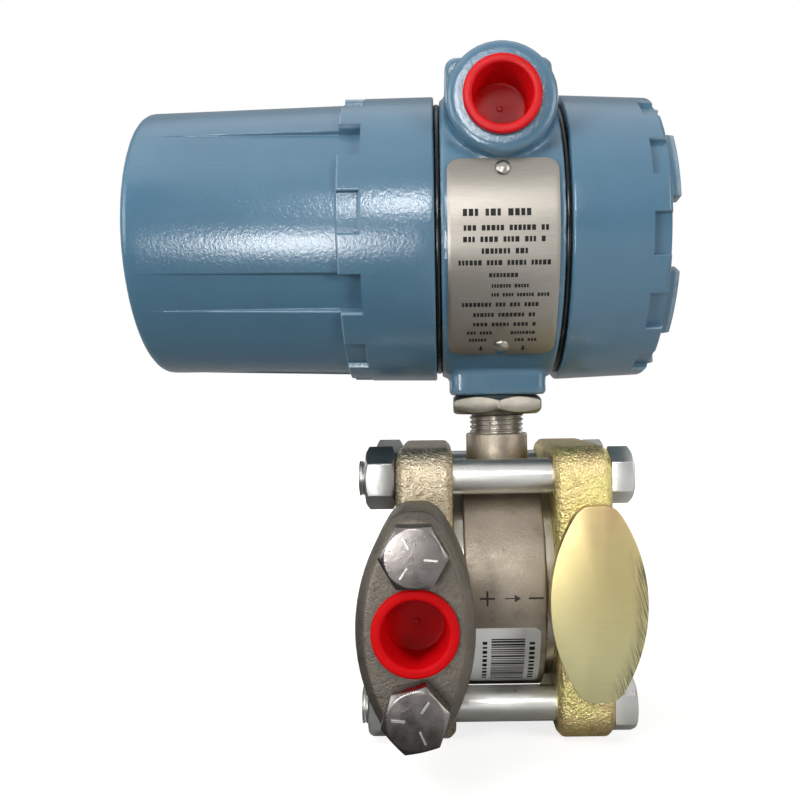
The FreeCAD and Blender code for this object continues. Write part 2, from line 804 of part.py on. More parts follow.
band = turned("housing_band", [
    (-spigot_end, 0), (-spigot_end, spigot_radius - dim.spigot_edge),
    (dim.spigot_edge - spigot_end, spigot_radius), (-band_side, spigot_radius),
    (-band_side, dim.band_radius - dim.band_edge), (dim.band_edge - band_side, dim.band_radius),
    (band_side - dim.band_edge, dim.band_radius), (band_side, dim.band_radius - dim.band_edge),
    (band_side, spigot_radius), (spigot_end - dim.spigot_edge, spigot_radius),
    (spigot_end, spigot_radius - dim.spigot_edge), (spigot_end, 0),
], (0, 0, housing_z), "X")
tunnel = plate_body(
    "housing_tunnel",
    rectangle(-dim.tunnel_width / 2, dim.tunnel_width / 2, 0, tunnel_top),
    dim.tunnel_depth, dim.tunnel_corner, (0, dim.tunnel_depth / 2, housing_z), "-Y")
soften(tunnel, "Fillet", dim.tunnel_corner / 2, level_at(dim.tunnel_depth))
neck_block = plate_body(
    "housing_neck_block",
    rectangle(-dim.neck_block_width / 2, dim.neck_block_width / 2,
              -dim.neck_block_depth / 2, dim.neck_block_depth / 2),
    neck_block_bottom - compartment_radius, dim.neck_block_corner, (0, 0, housing_bottom))
bosses = []
for name, axis in (("front", "-Y"), ("rear", "Y")):
    boss = turned(f"conduit_boss_{name}", [
        (0, 0), (0, dim.conduit_boss_radius), (conduit_boss_reach, dim.conduit_boss_radius),
        (conduit_boss_reach, 0),
    ], (0, 0, conduit_z), axis)
    soften(boss, "Fillet", dim.conduit_boss_round, level_at(conduit_boss_reach))
    bosses.append(boss)
casting = fuse("housing_casting", band, tunnel, neck_block, *bosses)

room_length = spigot_end + dim.web_place + overshoot
terminal_room = cylinder("terminal_room", compartment_radius, room_length,
                         (-spigot_end - overshoot, 0, housing_z), "X")
circuit_room = cylinder("circuit_room", compartment_radius, spigot_end - web_right + overshoot,
                        (web_right, 0, housing_z), "X")
neck_bore = cylinder("neck_bore", dim.neck_radius + dim.neck_clearance, dim.neck_engagement + 2 * overshoot,
                     (0, 0, housing_bottom - overshoot))
wire_passage = cylinder("wire_passage", dim.wire_passage_radius, dim.band_width / 2,
                        (dim.neck_radius / 2, 0, neck_top - dim.wire_passage_radius))
wire_passage.Placement.Rotation = FreeCAD.Rotation(FreeCAD.Vector(0, 1, 0), dim.wire_passage_lean.value)
conduit_bore = cylinder("conduit_bore", dim.conduit_bore_radius, 2 * conduit_boss_reach,
                        (0, -conduit_boss_reach, conduit_z), "Y")
entries = [
    cylinder(f"conduit_entry_{name}", dim.entry_radius, dim.conduit_depth + overshoot,
             (0, sign * (conduit_boss_reach - dim.conduit_depth), conduit_z), axis)
    for name, sign, axis in (("front", -1, "-Y"), ("rear", 1, "Y"))
]
plate_outer = dim.band_radius + dim.plate_gap + dim.plate_thickness
screw_angles = {"top": dim.plate_screw_top_angle, "low": dim.plate_screw_low_angle}
screw_base = dim.band_radius - dim.plate_screw_length
screw_holes = [
    cylinder(f"plate_screw_hole_{name}", dim.plate_screw_radius + dim.thread_clearance,
             dim.band_radius + overshoot, (0, 0, housing_z), radial(angle))
    for name, angle in screw_angles.items()
]
adjuster_angles = {"zero": dim.zero_angle, "span": dim.span_angle}
adjuster_bores = [
    cylinder(f"{name}_bore", dim.adjuster_radius + dim.adjuster_clearance, dim.band_radius + overshoot,
             (dim.adjuster_place, 0, housing_z), radial(angle))
    for name, angle in adjuster_angles.items()
]
screw_core = cylinder("plate_screw_core", screw_base, 2 * overshoot + 2 * dim.plate_screw_head_radius,
                      (-overshoot - dim.plate_screw_head_radius, 0, housing_z), "X")
screw_bores = cut("plate_screw_bores", fuse("plate_screw_holes", *screw_holes), screw_core)
hollow = cut("housing_hollow", casting, terminal_room, circuit_room, neck_bore, wire_passage, conduit_bore,
             *entries, screw_bores, *adjuster_bores)

block_radius = compartment_radius - dim.block_gap
block_screw_spread = 2 * (block_radius - dim.block_screw_inset)
ground_drop = compartment_radius - dim.ground_inset
block_screw_places = [
    (side * block_screw_spread / 2, housing_z - dim.block_screw_drop) for side in (-1, 1)
]


def post(name, length, y, z):
    # Tapped post that stands on the web, on the wiring side
    depth = dim.screw_grip + overshoot
    return turned(name, [
        (0, 0), (0, dim.post_radius), (length, dim.post_radius), (length, dim.post_hole_radius),
        (length - depth, dim.post_hole_radius), (length - depth, 0),
    ], (dim.web_place, y, z), "-X")


posts = [
    post(f"block_post{index}", dim.post_length, y, z) for index, (y, z) in enumerate(block_screw_places)
]
ground_z = housing_z - ground_drop
posts.append(post("ground_post", dim.ground_post_length, 0, ground_z))
keep("electronics_housing", fuse("electronics_housing", hollow, *posts))


# Covers: screwed cups with castellations for a bar wrench

def castellate(body, name, low, high, floor, count, phase=0):
    # Notches of one width round the cover, cut down to the floor radius
    outer = cover_radius + overshoot
    profile = [(low, floor), (low, outer), (high, outer), (high, floor)]
    feature = turn_profile(body, name, profile, "Groove", dim.castellation_angle)
    feature.Midplane = True
    doc.recompute()
    return repeat_round(body, feature, count)


terminal_step_radius = cover_radius - dim.terminal_step_drop
terminal_end_radius = cover_radius - dim.terminal_end_drop
terminal_notch_floor = cover_radius - dim.terminal_notch_drop
terminal_groove_floor = cover_radius - dim.terminal_groove_drop
terminal_inner_step = terminal_step_radius - dim.terminal_wall
terminal_inner_end = terminal_end_radius - dim.terminal_wall
terminal_cover = turned("terminal_cover", [
    (0, cover_bore), (0, cover_radius),
    (dim.terminal_skirt, cover_radius - dim.terminal_skirt_draft),
    (dim.terminal_skirt, terminal_step_radius), (dim.terminal_length, terminal_end_radius),
    (dim.terminal_length, 0), (dim.terminal_length - dim.terminal_end_wall, 0),
    (dim.terminal_length - dim.terminal_end_wall, terminal_inner_end),
    (dim.cover_thread_length, terminal_inner_step), (dim.cover_thread_length, cover_bore),
], (-cover_start, 0, housing_z), "-X", dim.terminal_notch_phase)
soften(terminal_cover, "Fillet", dim.terminal_end_round, level_at(dim.terminal_length))
notch_start = dim.terminal_skirt - dim.terminal_notch_length
half_count = dim.castellation_count / 2
castellate(terminal_cover, "terminal_notch", notch_start, dim.terminal_skirt + overshoot,
           terminal_notch_floor, dim.castellation_count)
castellate(terminal_cover, "terminal_groove", notch_start, dim.terminal_length + overshoot,
           terminal_groove_floor, half_count)
keep("terminal_cover", terminal_cover)

circuit_end_radius = cover_radius - dim.circuit_draft
circuit_inner = circuit_end_radius - dim.circuit_wall
circuit_cover = turned("circuit_cover", [
    (0, cover_bore), (0, cover_radius), (dim.circuit_length - dim.circuit_rim_edge, circuit_end_radius),
    (dim.circuit_length, circuit_end_radius - dim.circuit_rim_edge), (dim.circuit_length, 0),
    (dim.circuit_length - dim.circuit_end_wall, 0),
    (dim.circuit_length - dim.circuit_end_wall, circuit_inner), (dim.cover_thread_length, circuit_inner),
    (dim.cover_thread_length, cover_bore),
], (cover_start, 0, housing_z), "X", dim.circuit_notch_phase)
circuit_notch_floor = circuit_end_radius - dim.circuit_notch_depth
castellate(circuit_cover, "circuit_notch", dim.circuit_length - dim.circuit_notch_length,
           dim.circuit_length + overshoot, circuit_notch_floor, dim.castellation_count)
pad_radius = cover_radius - dim.pad_inset
pad_foot = dim.circuit_length - dim.circuit_end_wall / 2
pad_end = dim.circuit_length + dim.pad_height
arc_pad = turn_profile(circuit_cover, "circuit_pad", [
    (pad_foot, pad_radius - dim.pad_width), (pad_foot, pad_radius), (pad_end, pad_radius),
    (pad_end, pad_radius - dim.pad_width),
], angle=dim.pad_angle)
arc_pad.Midplane = True
doc.recompute()
repeat_round(circuit_cover, arc_pad, dim.pad_count)
keep("circuit_cover", circuit_cover)


# Cover seals: rings squeezed between the band and the cover rims

def cover_seal(name, at, axis):
    inner = spigot_radius + dim.ring_clearance
    outer = dim.band_radius - dim.ring_inset
    keep(name, turned(name, [
        (0, inner), (0, outer - dim.ring_round), (dim.ring_round, outer),
        (dim.cover_gap - dim.ring_round, outer), (dim.cover_gap, outer - dim.ring_round),
        (dim.cover_gap, inner),
    ], at, axis))


cover_seal("terminal_cover_seal", (-band_side, 0, housing_z), "-X")
cover_seal("circuit_cover_seal", (band_side, 0, housing_z), "X")

keep("conduit_plug", plug("conduit_plug", (0, -conduit_boss_reach, conduit_z), "-Y"))


# Nameplate curved round the band, open slot at its lower screw

plate_inner = dim.band_radius + dim.plate_gap
plate_half = dim.plate_width / 2
sheet_blank = turned(
    "nameplate_blank", rectangle(-plate_half, plate_half, plate_inner, plate_outer), (0, 0, housing_z), "X",
    -90 - dim.plate_top_angle, dim.plate_span)
soften(sheet_blank, "Fillet", dim.plate_corner,
       lambda edge: abs(edge.Length - dim.plate_thickness.value) < 1e-6)
plate_hole = dim.plate_screw_radius + dim.plate_hole_clearance
plate_cuts = [
    cylinder(f"plate_hole_{name}", plate_hole, plate_outer + overshoot, (0, 0, housing_z), radial(angle))
    for name, angle in screw_angles.items()
]
slot_outline = rectangle(-plate_hole, plate_hole, -dim.plate_width / 2, 0)
plate_cuts.append(padded("plate_slot", slot_outline, plate_outer + overshoot, (0, 0, housing_z),
                         radial(dim.plate_screw_low_angle)))
keep("nameplate", cut("nameplate", sheet_blank, *plate_cuts))


def radial_point(x, distance, angle):
    return (x, -(distance * cosine(angle)), housing_z + distance * sine(angle))


def drive_screw(name, angle):
    # Round headed drive screw on the plate
    reach = dim.plate_screw_length + dim.plate_gap + dim.plate_thickness
    height, radius = dim.plate_screw_head_height, dim.plate_screw_head_radius
    dome = [(height * rise, radius * spread) for rise, spread in dome_points]
    shank = [(-reach, 0), (-reach, dim.plate_screw_radius), (0, dim.plate_screw_radius), (0, radius)]
    return turned(name, shank + dome + [(height, 0)], radial_point(0, plate_outer, angle), radial(angle))


keep("nameplate_screws", group("nameplate_screws", [
    drive_screw(f"drive_screw_{name}", angle) for name, angle in screw_angles.items()
]))


# Zero and span adjusters in the wall behind the nameplate

def adjuster(name, angle):
    head = dim.band_radius - dim.adjuster_recess
    tail = compartment_radius - dim.adjuster_reach
    stud = cylinder(f"{name}_stud", dim.adjuster_radius, head - tail,
                    radial_point(dim.adjuster_place, tail, angle), radial(angle))
    reach = dim.adjuster_radius + overshoot
    slot = padded(f"{name}_slot",
                  rectangle(-dim.adjuster_slot_width / 2, dim.adjuster_slot_width / 2, -reach, reach),
                  dim.adjuster_slot_depth + overshoot,
                  radial_point(dim.adjuster_place, head - dim.adjuster_slot_depth, angle), radial(angle))
    keep(name, cut(name, stud, slot))


adjuster("zero_screw", dim.zero_angle)
adjuster("span_screw", dim.span_angle)


# Wiring side: moulded terminal block on its posts, terminals, ground screw

block_back = dim.web_place - dim.post_length
block_front = block_back - dim.block_thickness
terminal_z = housing_z + dim.terminal_rise
block_disc = cylinder("block_disc", block_radius, dim.block_thickness, (block_back, 0, housing_z), "-X")
block_limits = box(
    "block_limits", dim.block_thickness, 2 * block_radius, dim.block_top + dim.block_bottom,
    (block_front, -block_radius, housing_z - dim.block_bottom))
block_shape = common("block_shape", block_disc, block_limits)
terminal_total = int(dim.terminal_count.value)
row_start = (dim.terminal_count - 1) * dim.terminal_pitch / 2
terminal_places = [index * dim.terminal_pitch - row_start for index in range(terminal_total)]
barriers = []
for index in range(terminal_total + 1):
    low_y = index * dim.terminal_pitch - row_start - (dim.terminal_pitch + dim.barrier_width) / 2
    barriers.append(box(
        f"barrier{index}", dim.barrier_height + overshoot, dim.barrier_width, dim.barrier_length,
        (block_front - dim.barrier_height, low_y, terminal_z - dim.barrier_length / 2)))
block_holes = [
    cylinder(f"terminal_hole{index}", dim.screw_radius + dim.thread_clearance, dim.screw_grip + 2 * overshoot,
             (block_front - overshoot, y, terminal_z), "X")
    for index, y in enumerate(terminal_places)
]
block_holes += [
    cylinder(f"block_screw_hole{index}", dim.screw_radius + dim.thread_clearance,
             dim.block_thickness + 2 * overshoot, (block_front - overshoot, y, z), "X")
    for index, (y, z) in enumerate(block_screw_places)
]
keep("terminal_block", cut("terminal_block", fuse("block_body", block_shape, *barriers), *block_holes))

head_sizes = (dim.screw_head_radius, dim.screw_head_height)
keep("terminal_screws", group("terminal_screws", [
    pan_screw(f"terminal_screw{index}", dim.screw_radius, dim.screw_grip, *head_sizes,
              (block_front, y, terminal_z), "-X")
    for index, y in enumerate(terminal_places)
]))
keep("terminal_block_screws", group("terminal_block_screws", [
    pan_screw(f"block_screw{index}", dim.screw_radius, dim.block_thickness + dim.screw_grip, *head_sizes,
              (block_front, y, z), "-X")
    for index, (y, z) in enumerate(block_screw_places)
]))
ground_at = (dim.web_place - dim.ground_post_length, 0, ground_z)
ground_screw = pan_screw("ground_screw", dim.screw_radius, dim.screw_grip, *head_sizes, ground_at, "-X")
keep("ground_screw", ground_screw)


# Circuit side: two round boards stacked on posts in front of the web

board_radius = compartment_radius - dim.board_gap
board_post_circle = board_radius - dim.board_post_inset
board_places = [
    (board_post_circle * sine(as_size(turn)), housing_z + board_post_circle * cosine(as_size(turn)))
    for turn in board_post_turns
]
first_board = web_right + dim.board_post_length
second_board = first_board + dim.board_thickness + dim.board_spacer_length
boards_end = second_board + dim.board_thickness


def tube(name, length, x, y, z):
    inner = dim.screw_radius + dim.thread_clearance
    outer = dim.board_post_radius
    return turned(name, [(0, inner), (0, outer), (length, outer), (length, inner)], (x, y, z), "X")


def circuit_board(name, x, chips, cans):
    # Round board with its larger components, given as places on the board
    parts = [cylinder(f"{name}_disc", board_radius, dim.board_thickness, (x, 0, housing_z), "X")]
    seat = x + dim.board_thickness / 2
    rise = dim.part_height + dim.board_thickness / 2
    for index, (y, z) in enumerate(chips):
        corner = (seat, y - dim.chip_length / 2, housing_z + z - dim.chip_width / 2)
        parts.append(box(f"{name}_chip{index}", rise, dim.chip_length, dim.chip_width, corner))
    for index, (y, z) in enumerate(cans):
        parts.append(cylinder(f"{name}_can{index}", dim.can_radius, rise, (seat, y, housing_z + z), "X"))
    holes = [
        cylinder(f"{name}_hole{index}", dim.screw_radius + dim.thread_clearance,
                 dim.board_thickness + 2 * overshoot, (x - overshoot, y, z), "X")
        for index, (y, z) in enumerate(board_places)
    ]
    keep(name, cut(name, fuse(f"{name}_loaded", *parts), *holes))


chip_step = dim.chip_width * 2
circuit_board("amplifier_board", first_board, [(as_size(0), chip_step / 2), (as_size(0), -chip_step / 2)],
              [(-dim.chip_length, as_size(0)), (dim.chip_length, as_size(0))])
circuit_board("calibration_board", second_board, [(-dim.chip_length / 2, -chip_step / 2)],
              [(dim.chip_length, chip_step / 4), (-dim.chip_length, chip_step / 2)])
keep("board_posts", group("board_posts", [
    tube(f"board_post{index}", dim.board_post_length, web_right, y, z)
    for index, (y, z) in enumerate(board_places)
]))
keep("board_spacers", group("board_spacers", [
    tube(f"board_spacer{index}", dim.board_spacer_length, first_board + dim.board_thickness, y, z)
    for index, (y, z) in enumerate(board_places)
]))
keep("board_screws", group("board_screws", [
    pan_screw(f"board_screw{index}", dim.screw_radius, boards_end - web_right, dim.board_post_radius,
              dim.board_screw_head_height, (boards_end, y, z), "X")
    for index, (y, z) in enumerate(board_places)
]))


# Checks, then one file for each piece

doc.recompute()
failed = [item.Name for item in doc.Objects if "Invalid" in item.State or "Error" in item.State]
if failed:
    raise RuntimeError(f"objects that failed: {failed}")
for label, item in nodes.items():
    if item.Shape.isNull() or not item.Shape.isValid() or not item.Shape.Solids:
        raise RuntimeError(f"bad shape: {label}")

os.makedirs("parts", exist_ok=True)
for label, item in nodes.items():
    item.Shape.exportStep(f"parts/{label}.step")
    print(label, len(item.Shape.Solids), round(item.Shape.Volume, 1))
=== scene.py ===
import math

import bmesh
import bpy
import numpy as np
from mathutils import Matrix, Vector


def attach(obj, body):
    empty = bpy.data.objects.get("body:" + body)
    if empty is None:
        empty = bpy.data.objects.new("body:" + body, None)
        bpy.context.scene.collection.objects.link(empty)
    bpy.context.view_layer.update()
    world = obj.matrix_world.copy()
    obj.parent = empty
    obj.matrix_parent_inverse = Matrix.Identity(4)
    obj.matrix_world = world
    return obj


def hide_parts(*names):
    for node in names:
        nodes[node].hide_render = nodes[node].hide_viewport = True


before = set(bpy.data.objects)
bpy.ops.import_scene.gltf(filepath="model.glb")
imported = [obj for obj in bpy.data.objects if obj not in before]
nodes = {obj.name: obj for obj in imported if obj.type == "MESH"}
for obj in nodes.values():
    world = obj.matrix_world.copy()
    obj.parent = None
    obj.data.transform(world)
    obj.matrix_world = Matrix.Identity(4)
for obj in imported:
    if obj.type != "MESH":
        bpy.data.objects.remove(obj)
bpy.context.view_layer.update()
mm = 0.001

# places that several pieces share, in mm, as in the solids; cutters reach past a face by past
moduleZ, housingZ, conduitZ, portX = 46.2, 161.5, 195.5, -26.7
flangeIn, flangeOut, bossFront, rearFace, adapterFront = 15.7, 33.7, 45.4, 41.0, 73.0
coverStart, bandRadius, bossReach, pitchZ, past = 20.3, 46.8, 48.0, 20.65, 2
plateScrewAngles = (16.3, -52.2)
moduleMiddle, housingMiddle, conduitMiddle = (0, 0, moduleZ), (0, 0, housingZ), (0, 0, conduitZ)

# first radial direction, second radial direction, axis: the frames that the solids are turned in
axisFrames = {
    "X": ((0, 0, -1), (0, 1, 0), (1, 0, 0)),
    "-X": ((0, 0, 1), (0, 1, 0), (-1, 0, 0)),
    "Y": ((1, 0, 0), (0, 0, -1), (0, 1, 0)),
    "-Y": ((1, 0, 0), (0, 0, 1), (0, -1, 0)),
    "Z": ((1, 0, 0), (0, 1, 0), (0, 0, 1)),
}


def bandFrame(angle):
    # frame whose axis points out of the housing band, angle counted upward from the front
    turn = math.radians(angle)
    return ((1, 0, 0), (0, math.sin(turn), math.cos(turn)), (0, -math.cos(turn), math.sin(turn)))


def inFrame(local, at, axis):
    # local x, y, z along the frame's three directions, moved to its place
    directions = np.array(axisFrames[axis] if isinstance(axis, str) else axis, float)
    return np.asarray(local, float).reshape(-1, 3) @ directions + np.array(at, float)


def ease(t):
    # ramp from 0 to 1 that starts and ends level
    t = np.clip(t, 0, 1)
    return t * t * (3 - 2 * t)


def gridFaces(rows, columns, closed=True):
    # quads of a grid stored row by row, its last column joined to the first when closed
    row = np.arange(rows - 1)[:, None] * columns
    column = np.arange(columns if closed else columns - 1)[None, :]
    following = (column + 1) % columns
    quads = [row + column, row + following, row + columns + following, row + columns + column]
    return np.stack(np.broadcast_arrays(*quads), -1).reshape(-1, 4)


def roundedProfile(corners, steps=6):
    # corners (along, radius) or (along, radius, cut): a cut one becomes a quadratic curve
    corners = np.array([(*corner, 0)[:3] for corner in corners], float)
    points = []
    for index, (along, radius, cut) in enumerate(corners):
        here = np.array([along, radius])
        if cut == 0 or index in (0, len(corners) - 1):
            points.append(here[None])
            continue
        sides = (corners[index - 1, :2] - here, corners[index + 1, :2] - here)
        start, end = (here + side * min(cut / np.linalg.norm(side), 0.5) for side in sides)
        t = np.linspace(0, 1, steps)[:, None]
        points.append((1 - t) ** 2 * start + 2 * t * (1 - t) * here + t ** 2 * end)
    return np.concatenate(points)


def evenTurns(count):
    return np.arange(count) * 2 * np.pi / count


def ringShell(along, radius, turns, at, axis):
    # rings in rows: along and radius may change from row to row and over the turn
    local = np.stack(np.broadcast_arrays(radius * np.cos(turns), radius * np.sin(turns), along), -1)
    return inFrame(local, at, axis), gridFaces(*local.shape[:2])


def turnedShell(corners, at=(0, 0, 0), axis="Z", count=96):
    profile = roundedProfile(corners)
    return ringShell(profile[:, :1], profile[:, 1:], evenTurns(count), at, axis)


def steppedRod(steps, at, axis, count=64):
    # closed rod of several steps, each (radius, from, to)
    profile = [(end, radius) for radius, *ends in steps for end in ends]
    return turnedShell([(profile[0][0], 0), *profile, (profile[-1][0], 0)], at, axis, count)


def rod(radius, low, high, at, axis, count=64):
    return steppedRod([(radius, low, high)], at, axis, count)


def threadShell(radius, depth, pitch, low, high, at, axis, count=48):
    # r = radius - depth * triangle wave of (along / pitch - turn), flattened and closed at both ends
    along = np.linspace(low, high, int((high - low) / pitch * 10) + 2)[:, None]
    turns = evenTurns(count)
    wave = np.abs(((along / pitch - turns / (2 * np.pi)) % 1) * 2 - 1)
    ends = ease((along - low) / pitch) * ease((high - along) / pitch)
    radius = radius - depth * ends * np.clip(wave * 1.3 - 0.15, 0, 1)
    outside = ((1, 1), (0, 0))
    return ringShell(np.pad(along, outside, "edge"), np.pad(radius, outside), turns, at, axis)


def hexShell(across, height, at, axis, spin=0, crowns=(False, True), hole=0, count=144):
    # hexagon radius over the turn; a crowned end falls away at 30 degrees outside its crown circle
    turns = evenTurns(count)
    edge = across / 2 / np.cos(turns % (np.pi / 3) - np.pi / 6)
    crown = np.minimum(across * 0.468, edge)
    drop = (edge - crown) * math.tan(math.radians(30))
    rows = [(hole, 0), (crown, 0), (edge, drop * crowns[0]), (edge, height - drop * crowns[1]),
            (crown, height), (hole, height)]
    if hole:
        rows.append(rows[0])
    radius, along = np.array([np.broadcast_arrays(*row, turns)[:2] for row in rows], float).swapaxes(0, 1)
    return ringShell(along, radius, turns + math.radians(spin), at, axis)


def roundedRectangle(lowX, highX, lowY, highY, corner, steps=10):
    # four quarter circles round the corner centres
    quarter = np.arange(4)[:, None] * np.pi / 2 + np.linspace(0, np.pi / 2, steps)
    centreX = np.array([highX - corner, lowX + corner, lowX + corner, highX - corner])[:, None]
    centreY = np.array([highY - corner, highY - corner, lowY + corner, lowY + corner])[:, None]
    outline = np.stack([centreX + corner * np.cos(quarter), centreY + corner * np.sin(quarter)], -1)
    return outline.reshape(-1, 2)


def lensOutline(width, length, tip, tipRound, steps=28):
    # two large side arcs cut off flat at both tips, one quarter worked out and mirrored
    bulge = (width - tip) / 2
    radius = (bulge ** 2 + length ** 2 / 4) / (2 * bulge)
    y = np.linspace(0, length / 2 - tipRound, steps)
    side = np.stack([width / 2 - radius + np.sqrt(radius ** 2 - y ** 2), y], -1)
    corner, flat = np.array([tip / 2, length / 2]), np.array([tip / 2 - tipRound, length / 2])
    t = np.linspace(0, 1, 9)[1:, None]
    bend = (1 - t) ** 2 * side[-1] + 2 * t * (1 - t) * corner + t ** 2 * flat
    quarter = np.concatenate([side, bend])
    upper = np.concatenate([quarter, quarter[::-1] * (-1, 1)])
    return np.concatenate([upper, -upper[1:-1]])


def loftShell(outlines, levels, at, axis):
    # outlines of one point count stacked at their levels, both ends closed to their middles
    first, last = outlines[0], outlines[-1]
    flat = np.stack([first * 0 + first.mean(0), *outlines, last * 0 + last.mean(0)])
    heights = np.array([levels[0], *levels, levels[-1]], float)[:, None]
    local = np.stack(np.broadcast_arrays(flat[..., 0], flat[..., 1], heights), -1)
    return inFrame(local, at, axis), gridFaces(*local.shape[:2])


def linked(name, data):
    item = bpy.data.objects.new(name, data)
    bpy.context.scene.collection.objects.link(item)
    return item


def rawMesh(name, points, faces):
    mesh = bpy.data.meshes.new(name)
    mesh.from_pydata(np.asarray(points).tolist(), [], np.asarray(faces).tolist())
    return mesh


def buildMesh(name, shells):
    # all shells in one mesh: doubles merged so that seams and poles close, open rings filled, faces outwards
    offsets = np.cumsum([0] + [len(points) for points, _ in shells[:-1]])
    points = np.concatenate([points for points, _ in shells]) * mm
    mesh = rawMesh(name, points, np.concatenate([quads + offset for (_, quads), offset in zip(shells, offsets)]))
    work = bmesh.new()
    work.from_mesh(mesh)
    bmesh.ops.remove_doubles(work, verts=work.verts, dist=0.002 * mm)
    bmesh.ops.dissolve_degenerate(work, edges=work.edges, dist=0.0005 * mm)
    bmesh.ops.holes_fill(work, edges=[edge for edge in work.edges if edge.is_boundary])
    bmesh.ops.recalc_face_normals(work, faces=work.faces)
    work.to_mesh(mesh)
    work.free()
    return mesh


def withModifiers(mesh, *settings):
    # the mesh after the modifiers, each given as (kind, values)
    holder = linked(mesh.name + "Work", mesh)
    for kind, values in settings:
        modifier = holder.modifiers.new(kind.lower(), kind)
        for label, value in values.items():
            setattr(modifier, label, value)
    graph = bpy.context.evaluated_depsgraph_get()
    result = bpy.data.meshes.new_from_object(holder.evaluated_get(graph))
    bpy.data.objects.remove(holder)
    return result


def bevelled(mesh, width, angle=25):
    return withModifiers(mesh, ("BEVEL", {
        "width": width * mm, "segments": 2, "limit_method": "ANGLE", "angle_limit": math.radians(angle)}))


def castSkin(name, shells, cutterSets, voxel, relax):
    # closed shells become one skin: voxels join them, relaxing rounds every corner, then the machined cuts
    tools = [linked(f"{name}Tool{index}", buildMesh(f"{name}Tool{index}", cutters))
             for index, cutters in enumerate(cutterSets)]
    mesh = withModifiers(
        buildMesh(name, shells), ("REMESH", {"mode": "VOXEL", "voxel_size": voxel * mm}),
        ("SMOOTH", {"factor": 0.5, "iterations": relax}),
        *(("BOOLEAN", {"object": tool, "operation": "DIFFERENCE", "solver": "EXACT"}) for tool in tools))
    for tool in tools:
        bpy.data.objects.remove(tool)
    return mesh


def joinedMesh(name, meshes):
    # several finished meshes as one, their points left where they are
    work = bmesh.new()
    for mesh in meshes:
        work.from_mesh(mesh)
    joined = bpy.data.meshes.new(name)
    work.to_mesh(joined)
    work.free()
    return joined


def headedMesh(name, heads, shanks, bevel):
    # heads with bevelled edges and plain shanks in one mesh
    return joinedMesh(name, [bevelled(buildMesh(name + "Heads", heads), bevel),
                             buildMesh(name + "Shanks", shanks)])


finishes = {}


def addPiece(name, mesh, body, finish, replaced=(), sharp=30):
    mesh.shade_smooth()
    mesh.set_sharp_from_angle(angle=math.radians(sharp))
    mesh.materials.clear()
    mesh.materials.append(finishes[finish])
    piece = linked(name, mesh)
    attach(piece, body)
    if replaced:
        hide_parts(*replaced)


# shader helpers

def feed(tree, socket, value):
    # a link from another node, or a plain value
    if hasattr(value, "is_linked"):
        tree.links.new(value, socket)
    else:
        socket.default_value = value


def addNode(tree, kind, settings=None, **inputs):
    # settings are the node's own properties; inputs go by socket name, with _ for a space
    node = tree.nodes.new("ShaderNode" + kind)
    for label, value in (settings or {}).items():
        setattr(node, label, value)
    for label, value in inputs.items():
        feed(tree, node.inputs[label.replace("_", " ")], value)
    return node


def objectCoordinates(tree):
    return addNode(tree, "TexCoord").outputs["Object"]


def noise(tree, vector, **inputs):
    return addNode(tree, "TexNoise", Vector=vector, **inputs).outputs["Fac"]


def mathNode(tree, operation, first, second=None, clamp=False):
    node = addNode(tree, "Math", {"operation": operation, "use_clamp": clamp})
    for socket, value in zip(node.inputs, (first, second)):
        if value is not None:
            feed(tree, socket, value)
    return node.outputs[0]


def mixColours(tree, amount, first, second):
    node = addNode(tree, "Mix", {"data_type": "RGBA"}, Factor=amount)
    feed(tree, node.inputs[6], first)
    feed(tree, node.inputs[7], second)
    return node.outputs[2]


def mixValues(tree, amount, first, second):
    return addNode(tree, "Mix", {"data_type": "FLOAT"}, Factor=amount, A=first, B=second).outputs["Result"]


def ramp(tree, value, start, stop, low=0.0, high=1.0, shape="SMOOTHSTEP"):
    # a value between two limits brought to low and high
    return addNode(tree, "MapRange", {"interpolation_type": shape}, Value=value, From_Min=start, From_Max=stop,
                   To_Min=low, To_Max=high).outputs["Result"]


def stretched(tree, source, scale):
    return addNode(tree, "Mapping", Vector=source, Scale=scale).outputs["Vector"]


def newGroup(name, inputs, **outputs):
    # inputs with their values, where None is a vector; outputs with their kinds
    tree = bpy.data.node_groups.new(name, "ShaderNodeTree")
    for label, value in inputs.items():
        kind = "Vector" if value is None else "Color" if isinstance(value, tuple) else "Float"
        socket = tree.interface.new_socket(label, in_out="INPUT", socket_type="NodeSocket" + kind)
        if value is not None:
            socket.default_value = value
    for label, kind in outputs.items():
        tree.interface.new_socket(label, in_out="OUTPUT", socket_type="NodeSocket" + kind)
    return tree, tree.nodes.new("NodeGroupInput").outputs, tree.nodes.new("NodeGroupOutput").inputs


# shader groups

def makePatches():
    # two tones in soft patches, with their mask
    tree, given, result = newGroup("patches", {
        "Scale": 60.0, "Low": 0.4, "High": 0.6, "First": (0.5, 0.5, 0.5, 1), "Second": (0.6, 0.6, 0.6, 1),
    }, Colour="Color", Mask="Float")
    cloud = noise(tree, objectCoordinates(tree), Scale=given["Scale"], Detail=5.0, Roughness=0.6)
    mask = ramp(tree, cloud, given["Low"], given["High"])
    feed(tree, result["Colour"], mixColours(tree, mask, given["First"], given["Second"]))
    feed(tree, result["Mask"], mask)
    return tree


